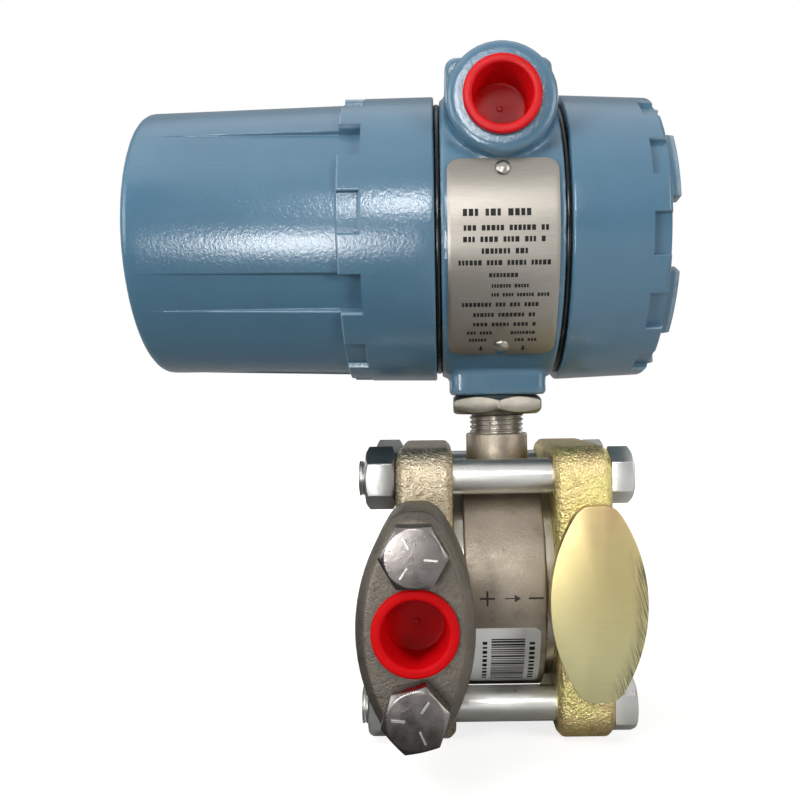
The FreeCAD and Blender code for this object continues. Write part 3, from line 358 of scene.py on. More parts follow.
def makeGrain():
    # coarse and fine bumps as a normal
    tree, given, result = newGroup("grain", {
        "Coarse Scale": 250.0, "Fine Scale": 1500.0, "Fine Share": 0.4, "Strength": 0.2, "Depth": 0.0003,
    }, Normal="Vector")
    where = objectCoordinates(tree)
    height = mixValues(tree, given["Fine Share"], noise(tree, where, Scale=given["Coarse Scale"], Detail=3.0),
                       noise(tree, where, Scale=given["Fine Scale"], Detail=2.0))
    bump = addNode(tree, "Bump", Height=height, Strength=given["Strength"], Distance=given["Depth"])
    feed(tree, result["Normal"], bump.outputs["Normal"])
    return tree


def makeSpread():
    # a value that wanders between two limits
    tree, given, result = newGroup("spread", {"Scale": 300.0, "Low": 0.3, "High": 0.5}, Value="Float")
    cloud = noise(tree, objectCoordinates(tree), Scale=given["Scale"], Detail=4.0)
    feed(tree, result["Value"], ramp(tree, cloud, 0.3, 0.7, given["Low"], given["High"], "LINEAR"))
    return tree


def makeLines():
    # noise drawn out along one direction: Vector comes in with its stretch already applied
    tree, given, result = newGroup("lines", {"Vector": None, "Low": 0.3, "High": 0.7}, Value="Float")
    streak = noise(tree, given["Vector"], Scale=1.0, Detail=6.0, Roughness=0.7)
    feed(tree, result["Value"], ramp(tree, streak, 0.3, 0.7, given["Low"], given["High"], "LINEAR"))
    return tree


def makeRubAndHighlight():
    # an edge value between two limits, broken up by noise: lighter paint on edges, partly rubbed-thin paint and
    # partly a painted highlight standing in for the glints on rounded edges
    tree, given, result = newGroup("rubAndHighlight", {
        "Edge": 0.5, "From": 0.52, "To": 0.6, "Breakup Scale": 200.0}, Mask="Float")
    edge = ramp(tree, given["Edge"], given["From"], given["To"], shape="LINEAR")
    breakup = noise(tree, objectCoordinates(tree), Scale=given["Breakup Scale"], Detail=4.0)
    feed(tree, result["Mask"], mathNode(tree, "MULTIPLY", edge, breakup, True))
    return tree


groups = {"patches": makePatches(), "grain": makeGrain(), "spread": makeSpread(), "lines": makeLines(),
          "rubAndHighlight": makeRubAndHighlight()}


def useGroup(tree, name, **inputs):
    return addNode(tree, "Group", {"node_tree": groups[name]}, **inputs).outputs


# finishes

white, black = (1, 1, 1, 1), (0, 0, 0, 1)


def newMaterial(name, **values):
    material = bpy.data.materials.new(name)
    material.use_nodes = True
    tree = material.node_tree
    surface = tree.nodes["Principled BSDF"].inputs
    for label, value in values.items():
        surface[label.replace("_", " ")].default_value = value
    return material, tree, surface


def addFinish(name, first, second, patchScale, rough, roughScale, grain, rubAndHighlight=None, stain=None, **values):
    # two tones in patches, blots of a third colour (scale, from, to, colour), edges lightened to a fourth (rubbed
    # paint and a painted highlight), a spread of roughness, and grain (coarse scale, fine scale, share of the fine
    # one, strength, depth)
    finishes[name], tree, surface = newMaterial(name, **values)
    colour = useGroup(tree, "patches", Scale=patchScale, Low=0.35, High=0.65, First=(*first, 1),
                      Second=(*second, 1))["Colour"]
    if stain:
        scale, start, end, tone = stain
        blot = useGroup(tree, "patches", Scale=scale, Low=start, High=end)["Mask"]
        colour = mixColours(tree, blot, colour, (*tone, 1))
    # edges lightened: rubbed paint together with a painted highlight along them
    if rubAndHighlight:
        if "attribute" in rubAndHighlight:
            source = addNode(tree, "Attribute", {"attribute_name": rubAndHighlight["attribute"]}).outputs["Fac"]
        else:
            source = addNode(tree, "NewGeometry").outputs["Pointiness"]
        edge = useGroup(tree, "rubAndHighlight", Edge=source, From=rubAndHighlight["start"], To=rubAndHighlight["end"], Breakup_Scale=rubAndHighlight["scale"])
        colour = mixColours(tree, edge["Mask"], colour, (*rubAndHighlight["colour"], 1))
    feed(tree, surface["Base Color"], colour)
    gloss = useGroup(tree, "spread", Scale=roughScale, Low=rough[0], High=rough[1])
    feed(tree, surface["Roughness"], gloss["Value"])
    coarse, fine, share, strength, depth = grain
    bump = useGroup(tree, "grain", Coarse_Scale=coarse, Fine_Scale=fine, Fine_Share=share, Strength=strength,
                    Depth=depth)
    for label in ("Normal", "Coat Normal"):
        feed(tree, surface[label], bump["Normal"])


# both paints are lightened on edges, the covers along the rimEdge attribute and the housing where its mesh is sharp
# (pointiness): partly rubbed paint, partly a painted highlight
for label, rubAndHighlight in {
    "coverPaint": {"attribute": "rimEdge", "start": 0.05, "end": 0.7, "scale": 300, "colour": (0.36, 0.47, 0.54)},
    "bluePaint": {"start": 0.515, "end": 0.57, "scale": 300, "colour": (0.32, 0.43, 0.51)},
}.items():
    addFinish(label, (0.071, 0.166, 0.252), (0.079, 0.182, 0.272), 25, (0.2, 0.25), 500,
              (900, 1900, 0.35, 0.36, 0.0003), rubAndHighlight, Specular_IOR_Level=0.55, Coat_Weight=0.5, Coat_Roughness=0.2)
addFinish("blackRubber", (0.006, 0.006, 0.007), (0.012, 0.012, 0.012), 120, (0.18, 0.3), 300,
          (300, 1500, 0.5, 0.08, 0.0002))
addFinish("redPlastic", (0.58, 0.002, 0.005), (0.64, 0.003, 0.007), 80, (0.34, 0.44), 300,
          (200, 900, 0.3, 0.05, 0.0003), Specular_IOR_Level=0.22)
# painted shade: the plugs' red plastic made a little darker and far less glossy, so that the lower plug's deep
# inside reads as shaded by the housing above
addFinish("shadedRedPlastic", (0.56, 0.002, 0.004), (0.62, 0.003, 0.006), 80, (0.4, 0.5), 300,
          (200, 900, 0.3, 0.05, 0.0003), Specular_IOR_Level=0.06)
addFinish("brightZinc", (0.74, 0.74, 0.71), (0.66, 0.66, 0.63), 60, (0.33, 0.39), 260,
          (900, 2600, 0.5, 0.25, 0.0002), stain=(700, 0.62, 0.75, (0.4, 0.4, 0.38)), Metallic=1.0)
addFinish("boltZinc", (0.29, 0.265, 0.25), (0.235, 0.215, 0.205), 90, (0.24, 0.34), 300,
          (900, 2600, 0.5, 0.25, 0.0002), stain=(260, 0.5, 0.9, (0.16, 0.145, 0.135)), Metallic=1.0)
addFinish("nutZinc", (0.35, 0.35, 0.34), (0.29, 0.29, 0.28), 90, (0.3, 0.36), 300,
          (900, 2600, 0.5, 0.2, 0.0002), Metallic=1.0)
addFinish("turnedSteel", (0.47, 0.445, 0.40), (0.40, 0.38, 0.335), 120, (0.26, 0.36), 300,
          (900, 2600, 0.5, 0.14, 0.0002), Metallic=1.0)
addFinish("lockSteel", (0.34, 0.315, 0.265), (0.29, 0.27, 0.225), 120, (0.28, 0.38), 300,
          (900, 2600, 0.5, 0.2, 0.0002), Metallic=1.0)
addFinish("moduleSteel", (0.33, 0.28, 0.22), (0.39, 0.335, 0.265), 60, (0.36, 0.5), 500,
          (900, 2600, 0.5, 0.45, 0.0004), stain=(140, 0.5, 0.85, (0.2, 0.17, 0.14)), Metallic=0.9)
addFinish("castSteel", (0.49, 0.415, 0.29), (0.62, 0.53, 0.38), 60, (0.24, 0.38), 900,
          (750, 1700, 0.5, 0.75, 0.0011), stain=(300, 0.45, 0.9, (0.38, 0.31, 0.21)), Metallic=1.0)
addFinish("adapterSteel", (0.135, 0.12, 0.098), (0.175, 0.155, 0.128), 70, (0.40, 0.54), 500,
          (1200, 2800, 0.5, 0.4, 0.0005), stain=(800, 0.52, 0.75, (0.095, 0.084, 0.07)), Metallic=0.8)
addFinish("goldZinc", (0.80, 0.72, 0.29), (0.76, 0.59, 0.30), 75, (0.25, 0.40), 900,
          (640, 1700, 0.5, 0.85, 0.0011), stain=(260, 0.54, 0.82, (0.34, 0.25, 0.11)), Metallic=1.0)
addFinish("whiteSeal", (0.78, 0.78, 0.74), (0.72, 0.71, 0.66), 90, (0.45, 0.6), 300, (300, 1500, 0.5, 0.1, 0.0002))
addFinish("brass", (0.60, 0.44, 0.16), (0.66, 0.50, 0.21), 110, (0.25, 0.4), 300,
          (500, 2000, 0.5, 0.1, 0.0002), Metallic=1.0)
addFinish("moulding", (0.016, 0.016, 0.017), (0.026, 0.025, 0.024), 90, (0.4, 0.55), 300,
          (300, 1500, 0.5, 0.15, 0.0003))
addFinish("laminate", (0.010, 0.085, 0.035), (0.014, 0.11, 0.045), 400, (0.3, 0.45), 300,
          (900, 2500, 0.5, 0.12, 0.0002))
addFinish("ink", (0.012, 0.012, 0.012), (0.02, 0.019, 0.018), 200, (0.5, 0.6), 300,
          (600, 2000, 0.5, 0.05, 0.0001), Specular_IOR_Level=0.15)
# near-black for the drum's engraved marks: painted shade standing in for the grooves
addFinish("engravingShade", (0.03, 0.026, 0.021), (0.05, 0.043, 0.035), 300, (0.5, 0.65), 300,
          (600, 2000, 0.5, 0.1, 0.0002), Metallic=0.5)
addFinish("paper", (0.90, 0.90, 0.90), (0.85, 0.85, 0.85), 60, (0.45, 0.6), 300, (500, 1800, 0.5, 0.08, 0.0002))


def addPlateSteel():
    # brushed along X: noise drawn out along the plate's own map
    finishes["plateSteel"], tree, surface = newMaterial("plateSteel", Metallic=1.0, Anisotropic=0.4)
    where = addNode(tree, "UVMap", {"uv_map": "plateMap"}).outputs["UV"]
    lines = useGroup(tree, "lines", Vector=stretched(tree, where, (0.12, 9.0, 1.0)), Low=0.0, High=1.0)["Value"]
    gloss = useGroup(tree, "lines", Vector=stretched(tree, where, (0.15, 7.0, 1.0)), Low=0.34, High=0.5)["Value"]
    bump = addNode(tree, "Bump", Height=lines, Strength=0.12, Distance=0.0001)
    feed(tree, surface["Base Color"], mixColours(tree, lines, (0.31, 0.29, 0.255, 1), (0.41, 0.385, 0.345, 1)))
    feed(tree, surface["Roughness"], gloss)
    feed(tree, surface["Normal"], bump.outputs["Normal"])


faceTone = {
    "low": (0.65, 0.61, 0.33, 1), "middle": (0.63, 0.53, 0.25, 1), "high": (0.60, 0.41, 0.21, 1),
    "brushed": (0.50, 0.44, 0.25, 1), "stain": (0.17, 0.16, 0.11, 1), "levels": (0.03, 0.066, 0.086),
    "cloud": 0.012, "slant": -75, "stainHalf": (0.0144, 0.031), "stainRing": (0.4, 0.9), "stainX": (0.028, 0.034),
    "stainZ": (0.064, 0.054), "scratches": (150, 150, 2600), "brushing": (60, 60, 2600),
}


def addFaceGold(s):
    # machined oval face: pink gold above, green gold below, fine slanting scratches, a dull stain along one edge
    finishes["faceGold"], tree, surface = newMaterial("faceGold", Metallic=1.0)
    where = objectCoordinates(tree)
    parts = addNode(tree, "SeparateXYZ", Vector=where).outputs
    cloud = useGroup(tree, "patches", Scale=45, Low=0.3, High=0.7, First=black, Second=white)["Mask"]
    height = mathNode(tree, "ADD", parts["Z"], mathNode(tree, "MULTIPLY", cloud, s["cloud"]))
    tone = mixColours(tree, ramp(tree, height, *s["levels"][:2]), s["low"], s["middle"])
    tone = mixColours(tree, ramp(tree, height, *s["levels"][1:]), tone, s["high"])
    slant = addNode(tree, "Mapping", Vector=where, Rotation=(0, math.radians(s["slant"]), 0)).outputs["Vector"]
    scratch = useGroup(tree, "lines", Vector=stretched(tree, slant, s["scratches"]), Low=0.0, High=1.0)["Value"]
    brushed = useGroup(tree, "lines", Vector=stretched(tree, where, s["brushing"]), Low=0.0, High=0.3)["Value"]
    tone = mixColours(tree, brushed, tone, s["brushed"])
    squares = []
    for label, middle, half in zip("XZ", (-portX, moduleZ), s["stainHalf"]):
        offset = mathNode(tree, "ADD", parts[label], -middle * mm)
        squares.append(mathNode(tree, "POWER", mathNode(tree, "DIVIDE", offset, half), 2.0))
    ring = ramp(tree, mathNode(tree, "ADD", *squares), *s["stainRing"])
    right, below = ramp(tree, parts["X"], *s["stainX"]), ramp(tree, parts["Z"], *s["stainZ"])
    edge = mathNode(tree, "MULTIPLY", ring, mathNode(tree, "MULTIPLY", right, below))
    stain = mathNode(tree, "MULTIPLY", edge, ramp(tree, scratch, 0.25, 0.75))
    bump = addNode(tree, "Bump", Height=scratch, Strength=0.14, Distance=0.0001)
    feed(tree, surface["Base Color"], mixColours(tree, stain, tone, s["stain"]))
    feed(tree, surface["Roughness"], useGroup(tree, "spread", Scale=400, Low=0.4, High=0.46)["Value"])
    feed(tree, surface["Normal"], bump.outputs["Normal"])


addPlateSteel()
addFaceGold(faceTone)
print("materials made")


# screw covers: a turned profile whose radius drops to a floor inside the notches

notchRows = np.array([-0.7, *np.linspace(-0.2, 0.2, 7), 0.7])


def notchMask(s, turns, count, width="notchWidth"):
    # 1 inside each of the notches and 0 outside, eased over the soft degrees
    step = 360 / count
    away = np.abs((np.degrees(turns) - s["phase"] + step / 2) % step - step / 2)
    return ease((s[width] / 2 + s["soft"] / 2 - away) / s["soft"])


def begunMask(s, along):
    # 0 before the notches start and 1 after
    return ease((along - s["notchStart"] + 0.2) / 0.4)


def rimOf(mask):
    # 1 just under the upper edge of an eased wall, 0 on the land and on the lower half of the wall; the cover paint
    # gets its painted edge highlight there
    return np.clip(mask / 0.08, 0, 1) * np.clip((0.5 - mask) / 0.3, 0, 1)


def coverTurns(s, *notchSets):
    # nine columns across every notch side, and even ones every two degrees where they stand clear of those
    offsets = s["soft"] * np.array([-1.4, *np.linspace(-0.5, 0.5, 7), 1.4])
    columns = []
    for count, width in notchSets:
        middles = s["phase"] + np.arange(count) * 360 / count
        sides = np.concatenate([middles - s[width] / 2, middles + s[width] / 2])
        columns.append((sides[:, None] + offsets).ravel() % 360)
    columns, even = np.concatenate(columns), np.arange(0, 360, 2.0)
    gaps = np.abs((even[:, None] - columns + 180) % 360 - 180).min(1)
    return np.radians(np.sort(np.concatenate([columns, even[gaps > 0.6]])))


def tapered(rows, ends, radii):
    return [(row, np.interp(row, ends, radii)) for row in rows]


def coverMesh(name, s, outer, turns, at, axis):
    # outside and inside of a cover, and each vertex's turn, distance along the axis and radius
    inner = np.array([*s["inside"], (s["inside"][-1][0], s["bore"]), (0, s["bore"])])
    walls = (outer, (inner[:, :1], inner[:, 1:]))
    mesh = buildMesh(name, [ringShell(*wall, turns, at, axis) for wall in walls])
    points = np.zeros(len(mesh.vertices) * 3)
    mesh.vertices.foreach_get("co", points)
    local = (points.reshape(-1, 3) / mm - np.array(at)) @ np.array(axisFrames[axis], float).T
    first, second, reach = local.T
    return mesh, np.arctan2(second, first), reach, np.hypot(first, second)


# the rimEdge attribute: where the cover paint is lightened, partly rubbed paint and partly a painted edge highlight
def setRim(mesh, values):
    mesh.attributes.new("rimEdge", "FLOAT", "POINT").data.foreach_set("value", np.asarray(values, np.float32))
    return mesh


terminalCover = {
    "bore": 42.8, "rim": 47.75, "skirt": 28.8, "skirtEnd": 47.3, "step": 45.4, "length": 94.0, "endRadius": 43.6,
    "endRound": 3.4, "endFlat": 26, "notchStart": 22.2, "notchFloor": 45.75, "grooveFloor": 43.75,
    "notchWidth": 15.5, "phase": 1.0, "soft": 0.5, "grooveEnd": 70.0, "inside": ((90.0, 40.0), (16.0, 41.8)),
}


def makeTerminalCover(s):
    turns = coverTurns(s, (12, "notchWidth"))
    skirtRows = (6, 12, 18, *s["notchStart"] + notchRows, 25, 27.6)
    skirt = tapered(skirtRows, (0, s["skirt"]), (s["rim"], s["skirtEnd"]))
    cap = tapered((29.9, *np.linspace(33, 88, 14)), (s["skirt"], s["length"]), (s["step"], s["endRadius"]))
    land = roundedProfile([
        (0, s["bore"]), (0, s["rim"], 0.8), *skirt, (s["skirt"], s["skirtEnd"], 0.5),
        (s["skirt"], s["step"], 0.5), *cap, (s["length"], s["endRadius"], s["endRound"]),
        (s["length"], s["endFlat"])])
    along, base = land[:, :1], land[:, 1:]
    depth = np.maximum(notchMask(s, turns, 12) * np.maximum(base - s["notchFloor"], 0),
                       notchMask(s, turns, 6) * np.maximum(base - s["grooveFloor"], 0))
    radius = base - depth * begunMask(s, along)
    place = ((-coverStart, 0, housingZ), "-X")
    mesh, turn, reach, out = coverMesh("terminalCover", s, (along, radius), turns, *place)
    # upper edges of the notches, grooves and the step, where the paint is lightened as a painted highlight
    begun = begunMask(s, reach)
    notch = notchMask(s, turn, 12) * (reach < s["skirt"] + 0.2)
    groove = notchMask(s, turn, 6) * (reach < s["grooveEnd"])
    sides = np.maximum(rimOf(notch), rimOf(groove)) * (begun > 0.5)
    starts = rimOf(begun) * np.maximum(notch, groove)
    step = np.exp(-((reach - s["skirt"]) / 0.35) ** 2) * (out > s["skirtEnd"] - 0.6)
    return setRim(mesh, np.max([sides, starts, step], 0) * (out > s["bore"] + 0.2))


circuitCover = {
    "bore": 42.8, "rim": 47.75, "length": 29.6, "endRadius": 46.55, "rimEdge": 0.9, "notchStart": 24.1,
    "notchFloor": 44.65, "notchWidth": 15.5, "phase": 8.0, "soft": 0.5, "padWidth": 30.0, "padHeight": 3.4,
    "padOut": 43.0, "padIn": 36.5, "inside": ((25.6, 41.75), (16.0, 41.75)),
    "endRows": (45.0, 44.65, 44.2, 43.5, 43.3, 43.15, 43.0, 42.85, 42.7, 42.3, 40, 38, 37.0, 36.8, 36.65, 36.5,
                36.35, 36.2, 35.5, 30),
}


def makeCircuitCover(s):
    turns = coverTurns(s, (12, "notchWidth"), (6, "padWidth"))
    sideRows = (6, 12, 18, *s["notchStart"] + notchRows, 26, 27.8)
    side = tapered(sideRows, (0, s["length"]), (s["rim"], s["endRadius"]))
    land = roundedProfile([
        (0, s["bore"]), (0, s["rim"], 0.8), *side, (s["length"] - s["rimEdge"], s["endRadius"], 0.5),
        (s["length"], s["endRadius"] - s["rimEdge"], 0.5), *((s["length"], row) for row in s["endRows"])])
    along, base = land[:, :1], land[:, 1:]
    radius = base - notchMask(s, turns, 12) * np.maximum(base - s["notchFloor"], 0) * begunMask(s, along)
    between = ease((s["padOut"] + 0.3 - base) / 0.6) * ease((base - s["padIn"] + 0.3) / 0.6)
    onPad = between * (along >= s["length"])
    raised = along + s["padHeight"] * onPad * notchMask(s, turns, 6, "padWidth")
    place = ((coverStart, 0, housingZ), "X")
    mesh, turn, reach, out = coverMesh("circuitCover", s, (raised, radius), turns, *place)
    # upper edges of the notches and pads, where the paint is lightened as a painted highlight
    begun = begunMask(s, reach)
    notch = notchMask(s, turn, 12) * (out > s["notchFloor"] - 0.1)
    pad = rimOf(1 - (reach - s["length"]) / s["padHeight"]) * (reach > s["length"])
    rim = np.max([rimOf(notch) * (begun > 0.5), rimOf(begun) * notch, pad], 0)
    return setRim(mesh, rim * (out > s["padIn"] - 1) * (reach > s["notchStart"] - 1))


sealRing = {"inner": 42.7, "outer": 45.4, "width": 1.8, "round": 0.8, "edge": 0.3, "place": 18.5}


def makeSealRing(s, side):
    middle = (s["width"] / 2, s["inner"])
    profile = [middle, (0, s["inner"], s["edge"]), (0, s["outer"], s["round"]),
               (s["width"], s["outer"], s["round"]), (s["width"], s["inner"], s["edge"]), middle]
    at, axis = (side * s["place"], 0, housingZ), "X" if side > 0 else "-X"
    return buildMesh("sealRing", [turnedShell(profile, at, axis, 180)])


addPiece("terminalCoverCasting", makeTerminalCover(terminalCover), "terminal_lid", "coverPaint",
         ["terminal_cover"], 62)
addPiece("circuitCoverCasting", makeCircuitCover(circuitCover), "circuit_lid", "coverPaint",
         ["circuit_cover"], 62)
addPiece("terminalSealRing", makeSealRing(sealRing, -1), "terminal_seal", "blackRubber",
         ["terminal_cover_seal"], 60)
addPiece("circuitSealRing", makeSealRing(sealRing, 1), "circuit_seal", "blackRubber",
         ["circuit_cover_seal"], 60)
print("covers made")


# housing casting

housing = {
    "bandHalf": 18.5, "bandEdge": 0.8, "spigot": 42.4, "spigotEnd": 33.3, "spigotRound": 1.0, "tunnelHalf": 16.7,
    "tunnelDepth": 34.5, "tunnelTop": 51.0, "tunnelCorner": 3.5, "tunnelEdge": 1.2, "tunnelShrink": 0.96,
    "bossRadius": 16.7, "bossRound": 2.6, "neckHalfX": 16.0, "neckHalfY": 14.5, "neckCorner": 3.5,
    "neckBottom": 108.5, "neckEdge": 1.0, "neckShrink": 0.97, "neckHeight": 16.0, "room": 37.5, "webLow": 8.0,
    "webHigh": 12.0, "entry": 10.5, "entryDepth": 22.0, "wireBore": 8.0, "neckBore": 9.38, "neckDepth": 11.5,
    "adjusterBore": 2.28, "adjusterFrom": 30, "adjusterX": 14.3, "adjusterAngles": (-6, -28), "screwBore": 1.4,
    "screwFrom": 41.8, "wallBoresTo": 50, "post": 4.2, "postBore": 1.75, "postDepth": 7,
    "posts": ((20, -25, -12), (20, 25, -12), (16, 0, -28)), "voxel": 0.8, "relax": 5,
}


def makeHousing(s):
    half = [(s["spigotEnd"], 0), (s["spigotEnd"], s["spigot"], s["spigotRound"]), (s["bandHalf"], s["spigot"]),
            (s["bandHalf"], bandRadius, s["bandEdge"])]
    mirrored = [(-along, *rest) for along, *rest in half]
    band = turnedShell(mirrored + half[::-1], housingMiddle, "X", 300)
    flat = roundedRectangle(-s["tunnelHalf"], s["tunnelHalf"], 0, s["tunnelTop"], s["tunnelCorner"])
    middle = np.array([0, s["tunnelTop"] / 2])
    ends = middle + (flat - middle) * s["tunnelShrink"]
    depth, edge = s["tunnelDepth"], s["tunnelEdge"]
    levels = [-depth, edge - depth, depth - edge, depth]
    tunnel = loftShell([ends, flat, flat, ends], levels, housingMiddle, "-Y")
    boss = [(0, 0), (0, s["bossRadius"]), (bossReach, s["bossRadius"], s["bossRound"]), (bossReach, 0)]
    bosses = [turnedShell(boss, conduitMiddle, axis, 120) for axis in ("-Y", "Y")]
    foot = roundedRectangle(-s["neckHalfX"], s["neckHalfX"], -s["neckHalfY"], s["neckHalfY"], s["neckCorner"])
    neckMiddle = (0, 0, s["neckBottom"])
    neck = loftShell([foot * s["neckShrink"], foot, foot], [0, s["neckEdge"], s["neckHeight"]], neckMiddle, "Z")
    rooms = [rod(s["room"], low, high, housingMiddle, "X", 160)
             for low, high in ((-s["spigotEnd"] - past, s["webLow"]), (s["webHigh"], s["spigotEnd"] + past))]
    reach, inner = bossReach + past, bossReach - s["entryDepth"]
    wireway = steppedRod([(s["entry"], -reach, -inner), (s["wireBore"], -inner, inner), (s["entry"], inner, reach)],
                         conduitMiddle, "Y", 96)
    bores = [wireway, rod(s["neckBore"], -1, s["neckDepth"], neckMiddle, "Z", 96)]
    inWall = [(s["adjusterBore"], s["adjusterFrom"], s["adjusterX"], angle) for angle in s["adjusterAngles"]]
    inWall += [(s["screwBore"], s["screwFrom"], 0, angle) for angle in plateScrewAngles]
    bores += [rod(radius, low, s["wallBoresTo"], (x, 0, housingZ), bandFrame(angle), 32)
              for radius, low, x, angle in inWall]
    skin = castSkin("housingSkin", [band, tunnel, neck, *bosses], [rooms, bores], s["voxel"], s["relax"])
    posts = [turnedShell([(0, 0), (0, s["post"]), (length, s["post"]), (length, s["postBore"]),
                          (length - s["postDepth"], s["postBore"]), (length - s["postDepth"], 0)],
                         (s["webLow"], y, housingZ + z), "-X", 48) for length, y, z in s["posts"]]
    return joinedMesh("housingCasting", [skin, buildMesh("housingPosts", posts)])


addPiece("housingCasting", makeHousing(housing), "housing", "bluePaint",
         ["electronics_housing"], 35)
print("housing made")


# plastic plugs

plug = {"rim": 11.65, "rimHeight": 2.0, "length": 14.0, "body": 10.15, "bodyEnd": 9.55, "mouth": 8.9,
        "floor": 8.2, "floorThick": 1.6, "nub": 0.4, "nubFoot": 0.9, "nubTop": 0.7}


def makePlug(s, at):
    floor = s["floorThick"] - s["length"]
    return buildMesh("plug", [turnedShell([
        (-s["length"], 0), (-s["length"], s["bodyEnd"], 0.8), (0, s["body"], 0.2), (0, s["rim"], 0.5),
        (s["rimHeight"], s["rim"], 0.9), (s["rimHeight"], s["mouth"], 0.9), (floor, s["floor"], 1.0),
        (floor, s["nubFoot"], 0.1), (floor + s["nub"], s["nubTop"], 0.1), (floor + s["nub"], 0)], at, "-Y", 96)])


# the lower port plug wears the shaded copy of the red plastic: painted shade
addPiece("portPlugMoulding", makePlug(plug, (portX, -adapterFront, moduleZ)), "port_plug",
         "shadedRedPlastic", ["process_port_plug"], 50)
addPiece("conduitPlugMoulding", makePlug(plug, (0, -bossReach, conduitZ)), "entry_plug",
         "redPlastic", ["conduit_plug"], 50)


# nameplate curved round the band

nameplate = {"outer": 47.65, "top": 20.4, "span": 78.0, "half": 16.5, "corner": 4.0, "slot": 1.55,
             "slotTop": plateScrewAngles[1], "slotColumns": 4, "sideColumns": 12, "thick": 0.8, "bevel": 0.12}
arcDegree = math.radians(1) * nameplate["outer"]


def onCylinder(x, turn, radius, middleZ):
    # a point in front of an axis along X, turn counted upward from the front
    return np.stack(np.broadcast_arrays(x, -radius * np.cos(turn), middleZ + radius * np.sin(turn)), -1)


def onPlate(x, fromTop, lift=0):
    # a point by its X and its arc length down from the plate's top edge
    turn = np.radians(nameplate["top"]) - np.asarray(fromTop, float) / nameplate["outer"]
    return onCylinder(x, turn, nameplate["outer"] + lift, housingZ)


def drawnIn(half, corner, fromEnd):
    # half width of a sheet that follows its corner circles near both ends
    return half - corner + np.sqrt(corner ** 2 - (corner - np.minimum(fromEnd, corner)) ** 2)


def makeNameplate(s):
    # rows down the arc, columns across, the slot's columns left out below its top
    length = s["span"] * arcDegree
    slotRow = (s["top"] - s["slotTop"]) * arcDegree
    corner = s["corner"] * (1 - np.cos(np.linspace(0, np.pi / 2, 9)))
    rows = np.unique(np.concatenate([corner, np.linspace(s["corner"], length - s["corner"], 60), length - corner,
                                     [slotRow]]))
    half = drawnIn(s["half"], s["corner"], np.minimum(rows, length - rows))[:, None]
    inside, outside = np.linspace(-1, 1, s["slotColumns"] + 1), np.linspace(0, 1, s["sideColumns"] + 1)[1:]
    x = np.concatenate([-(s["slot"] + (half - s["slot"]) * outside[::-1]), s["slot"] * inside + 0 * half,
                        s["slot"] + (half - s["slot"]) * outside], 1)
    down = rows[:, None] + 0 * x
    faces = gridFaces(*x.shape, False)
    row, column = faces[:, 0] // x.shape[1], faces[:, 0] % x.shape[1] - s["sideColumns"]
    faces = faces[~((rows[row] >= slotRow - 1e-6) & (column >= 0) & (column < s["slotColumns"]))]
    used, numbered = np.unique(faces, return_inverse=True)
    mesh = rawMesh("nameplate", onPlate(x, down).reshape(-1, 3)[used] * mm, numbered.reshape(-1, 4))
    loops = np.zeros(len(mesh.loops), np.int32)
    mesh.loops.foreach_get("vertex_index", loops)
    flat = np.stack([x, down], -1).reshape(-1, 2)[used]
    mesh.uv_layers.new(name="plateMap").data.foreach_set("uv", flat[loops].ravel())
    normals = np.zeros(len(mesh.polygons) * 3)
    mesh.polygons.foreach_get("normal", normals)
    if normals.reshape(-1, 3).mean(0)[1] > 0:
        mesh.flip_normals()
    return withModifiers(mesh, ("SOLIDIFY", {"thickness": s["thick"] * mm, "offset": -1.0}),
                         ("BEVEL", {"width": s["bevel"] * mm, "segments": 2, "limit_method": "ANGLE"}))


driveScrew = {"shank": 1.3, "reach": 5.85, "head": 2.45, "rise": 1.5}


def makeDriveScrews(s):
    profile = [(-s["reach"], 0), (-s["reach"], s["shank"], 0.3), (0, s["shank"]), (0, s["head"], 0.3),
               (s["rise"] * 0.45, s["head"] * 0.95, 0.5), (s["rise"], s["head"] * 0.45, 0.8), (s["rise"], 0)]
    shells = []
    for angle in plateScrewAngles:
        at = np.array(bandFrame(angle)[2]) * nameplate["outer"] + housingMiddle
        shells.append(turnedShell(profile, at, bandFrame(angle), 48))
    return buildMesh("driveScrews", shells)


def raisedBars(bars, toSurface, thick, base=0.0):
    # every bar (x low, x high, start, end) becomes a thin closed block on a curved surface
    corners = np.asarray(bars, float)[:, [[0, 2], [1, 2], [1, 3], [0, 3]]]
    levels = [toSurface(corners[..., 0], corners[..., 1], lift) for lift in (base, base + thick)]
    block = np.array([[3, 2, 1, 0], [4, 5, 6, 7], [0, 1, 5, 4], [1, 2, 6, 5], [2, 3, 7, 6], [3, 0, 4, 7]])
    faces = (np.arange(len(bars))[:, None, None] * 8 + block).reshape(-1, 4)
    return np.concatenate(levels, 1).reshape(-1, 3), faces


def wordBlocks(rows, seed):
    # rows (middle, height, from x, to x) filled with words of three to eight plain blocks
    random = np.random.default_rng(seed)
    bars = []
    for middle, height, x, stop in rows:
        while x < stop - height:
            for width in height * random.uniform(0.45, 0.75, random.integers(3, 9)):
                if x + width < stop:
                    bars.append((x, x + width, middle - height / 2, middle + height / 2))
                x += width + height * 0.22
            x += height * 0.8
    return bars


def arrowDown(x, top, size):
    # a stem and a head of six bars that narrow to the tip
    steps = np.linspace(0, 1, 7)
    head = [(x - size * (1 - low) * 0.6, x + size * (1 - low) * 0.6, top + size * (1 + low),
             top + size * (1 + high)) for low, high in zip(steps[:-1], steps[1:])]
    return head + [(x - size * 0.25, x + size * 0.25, top, top + size)]


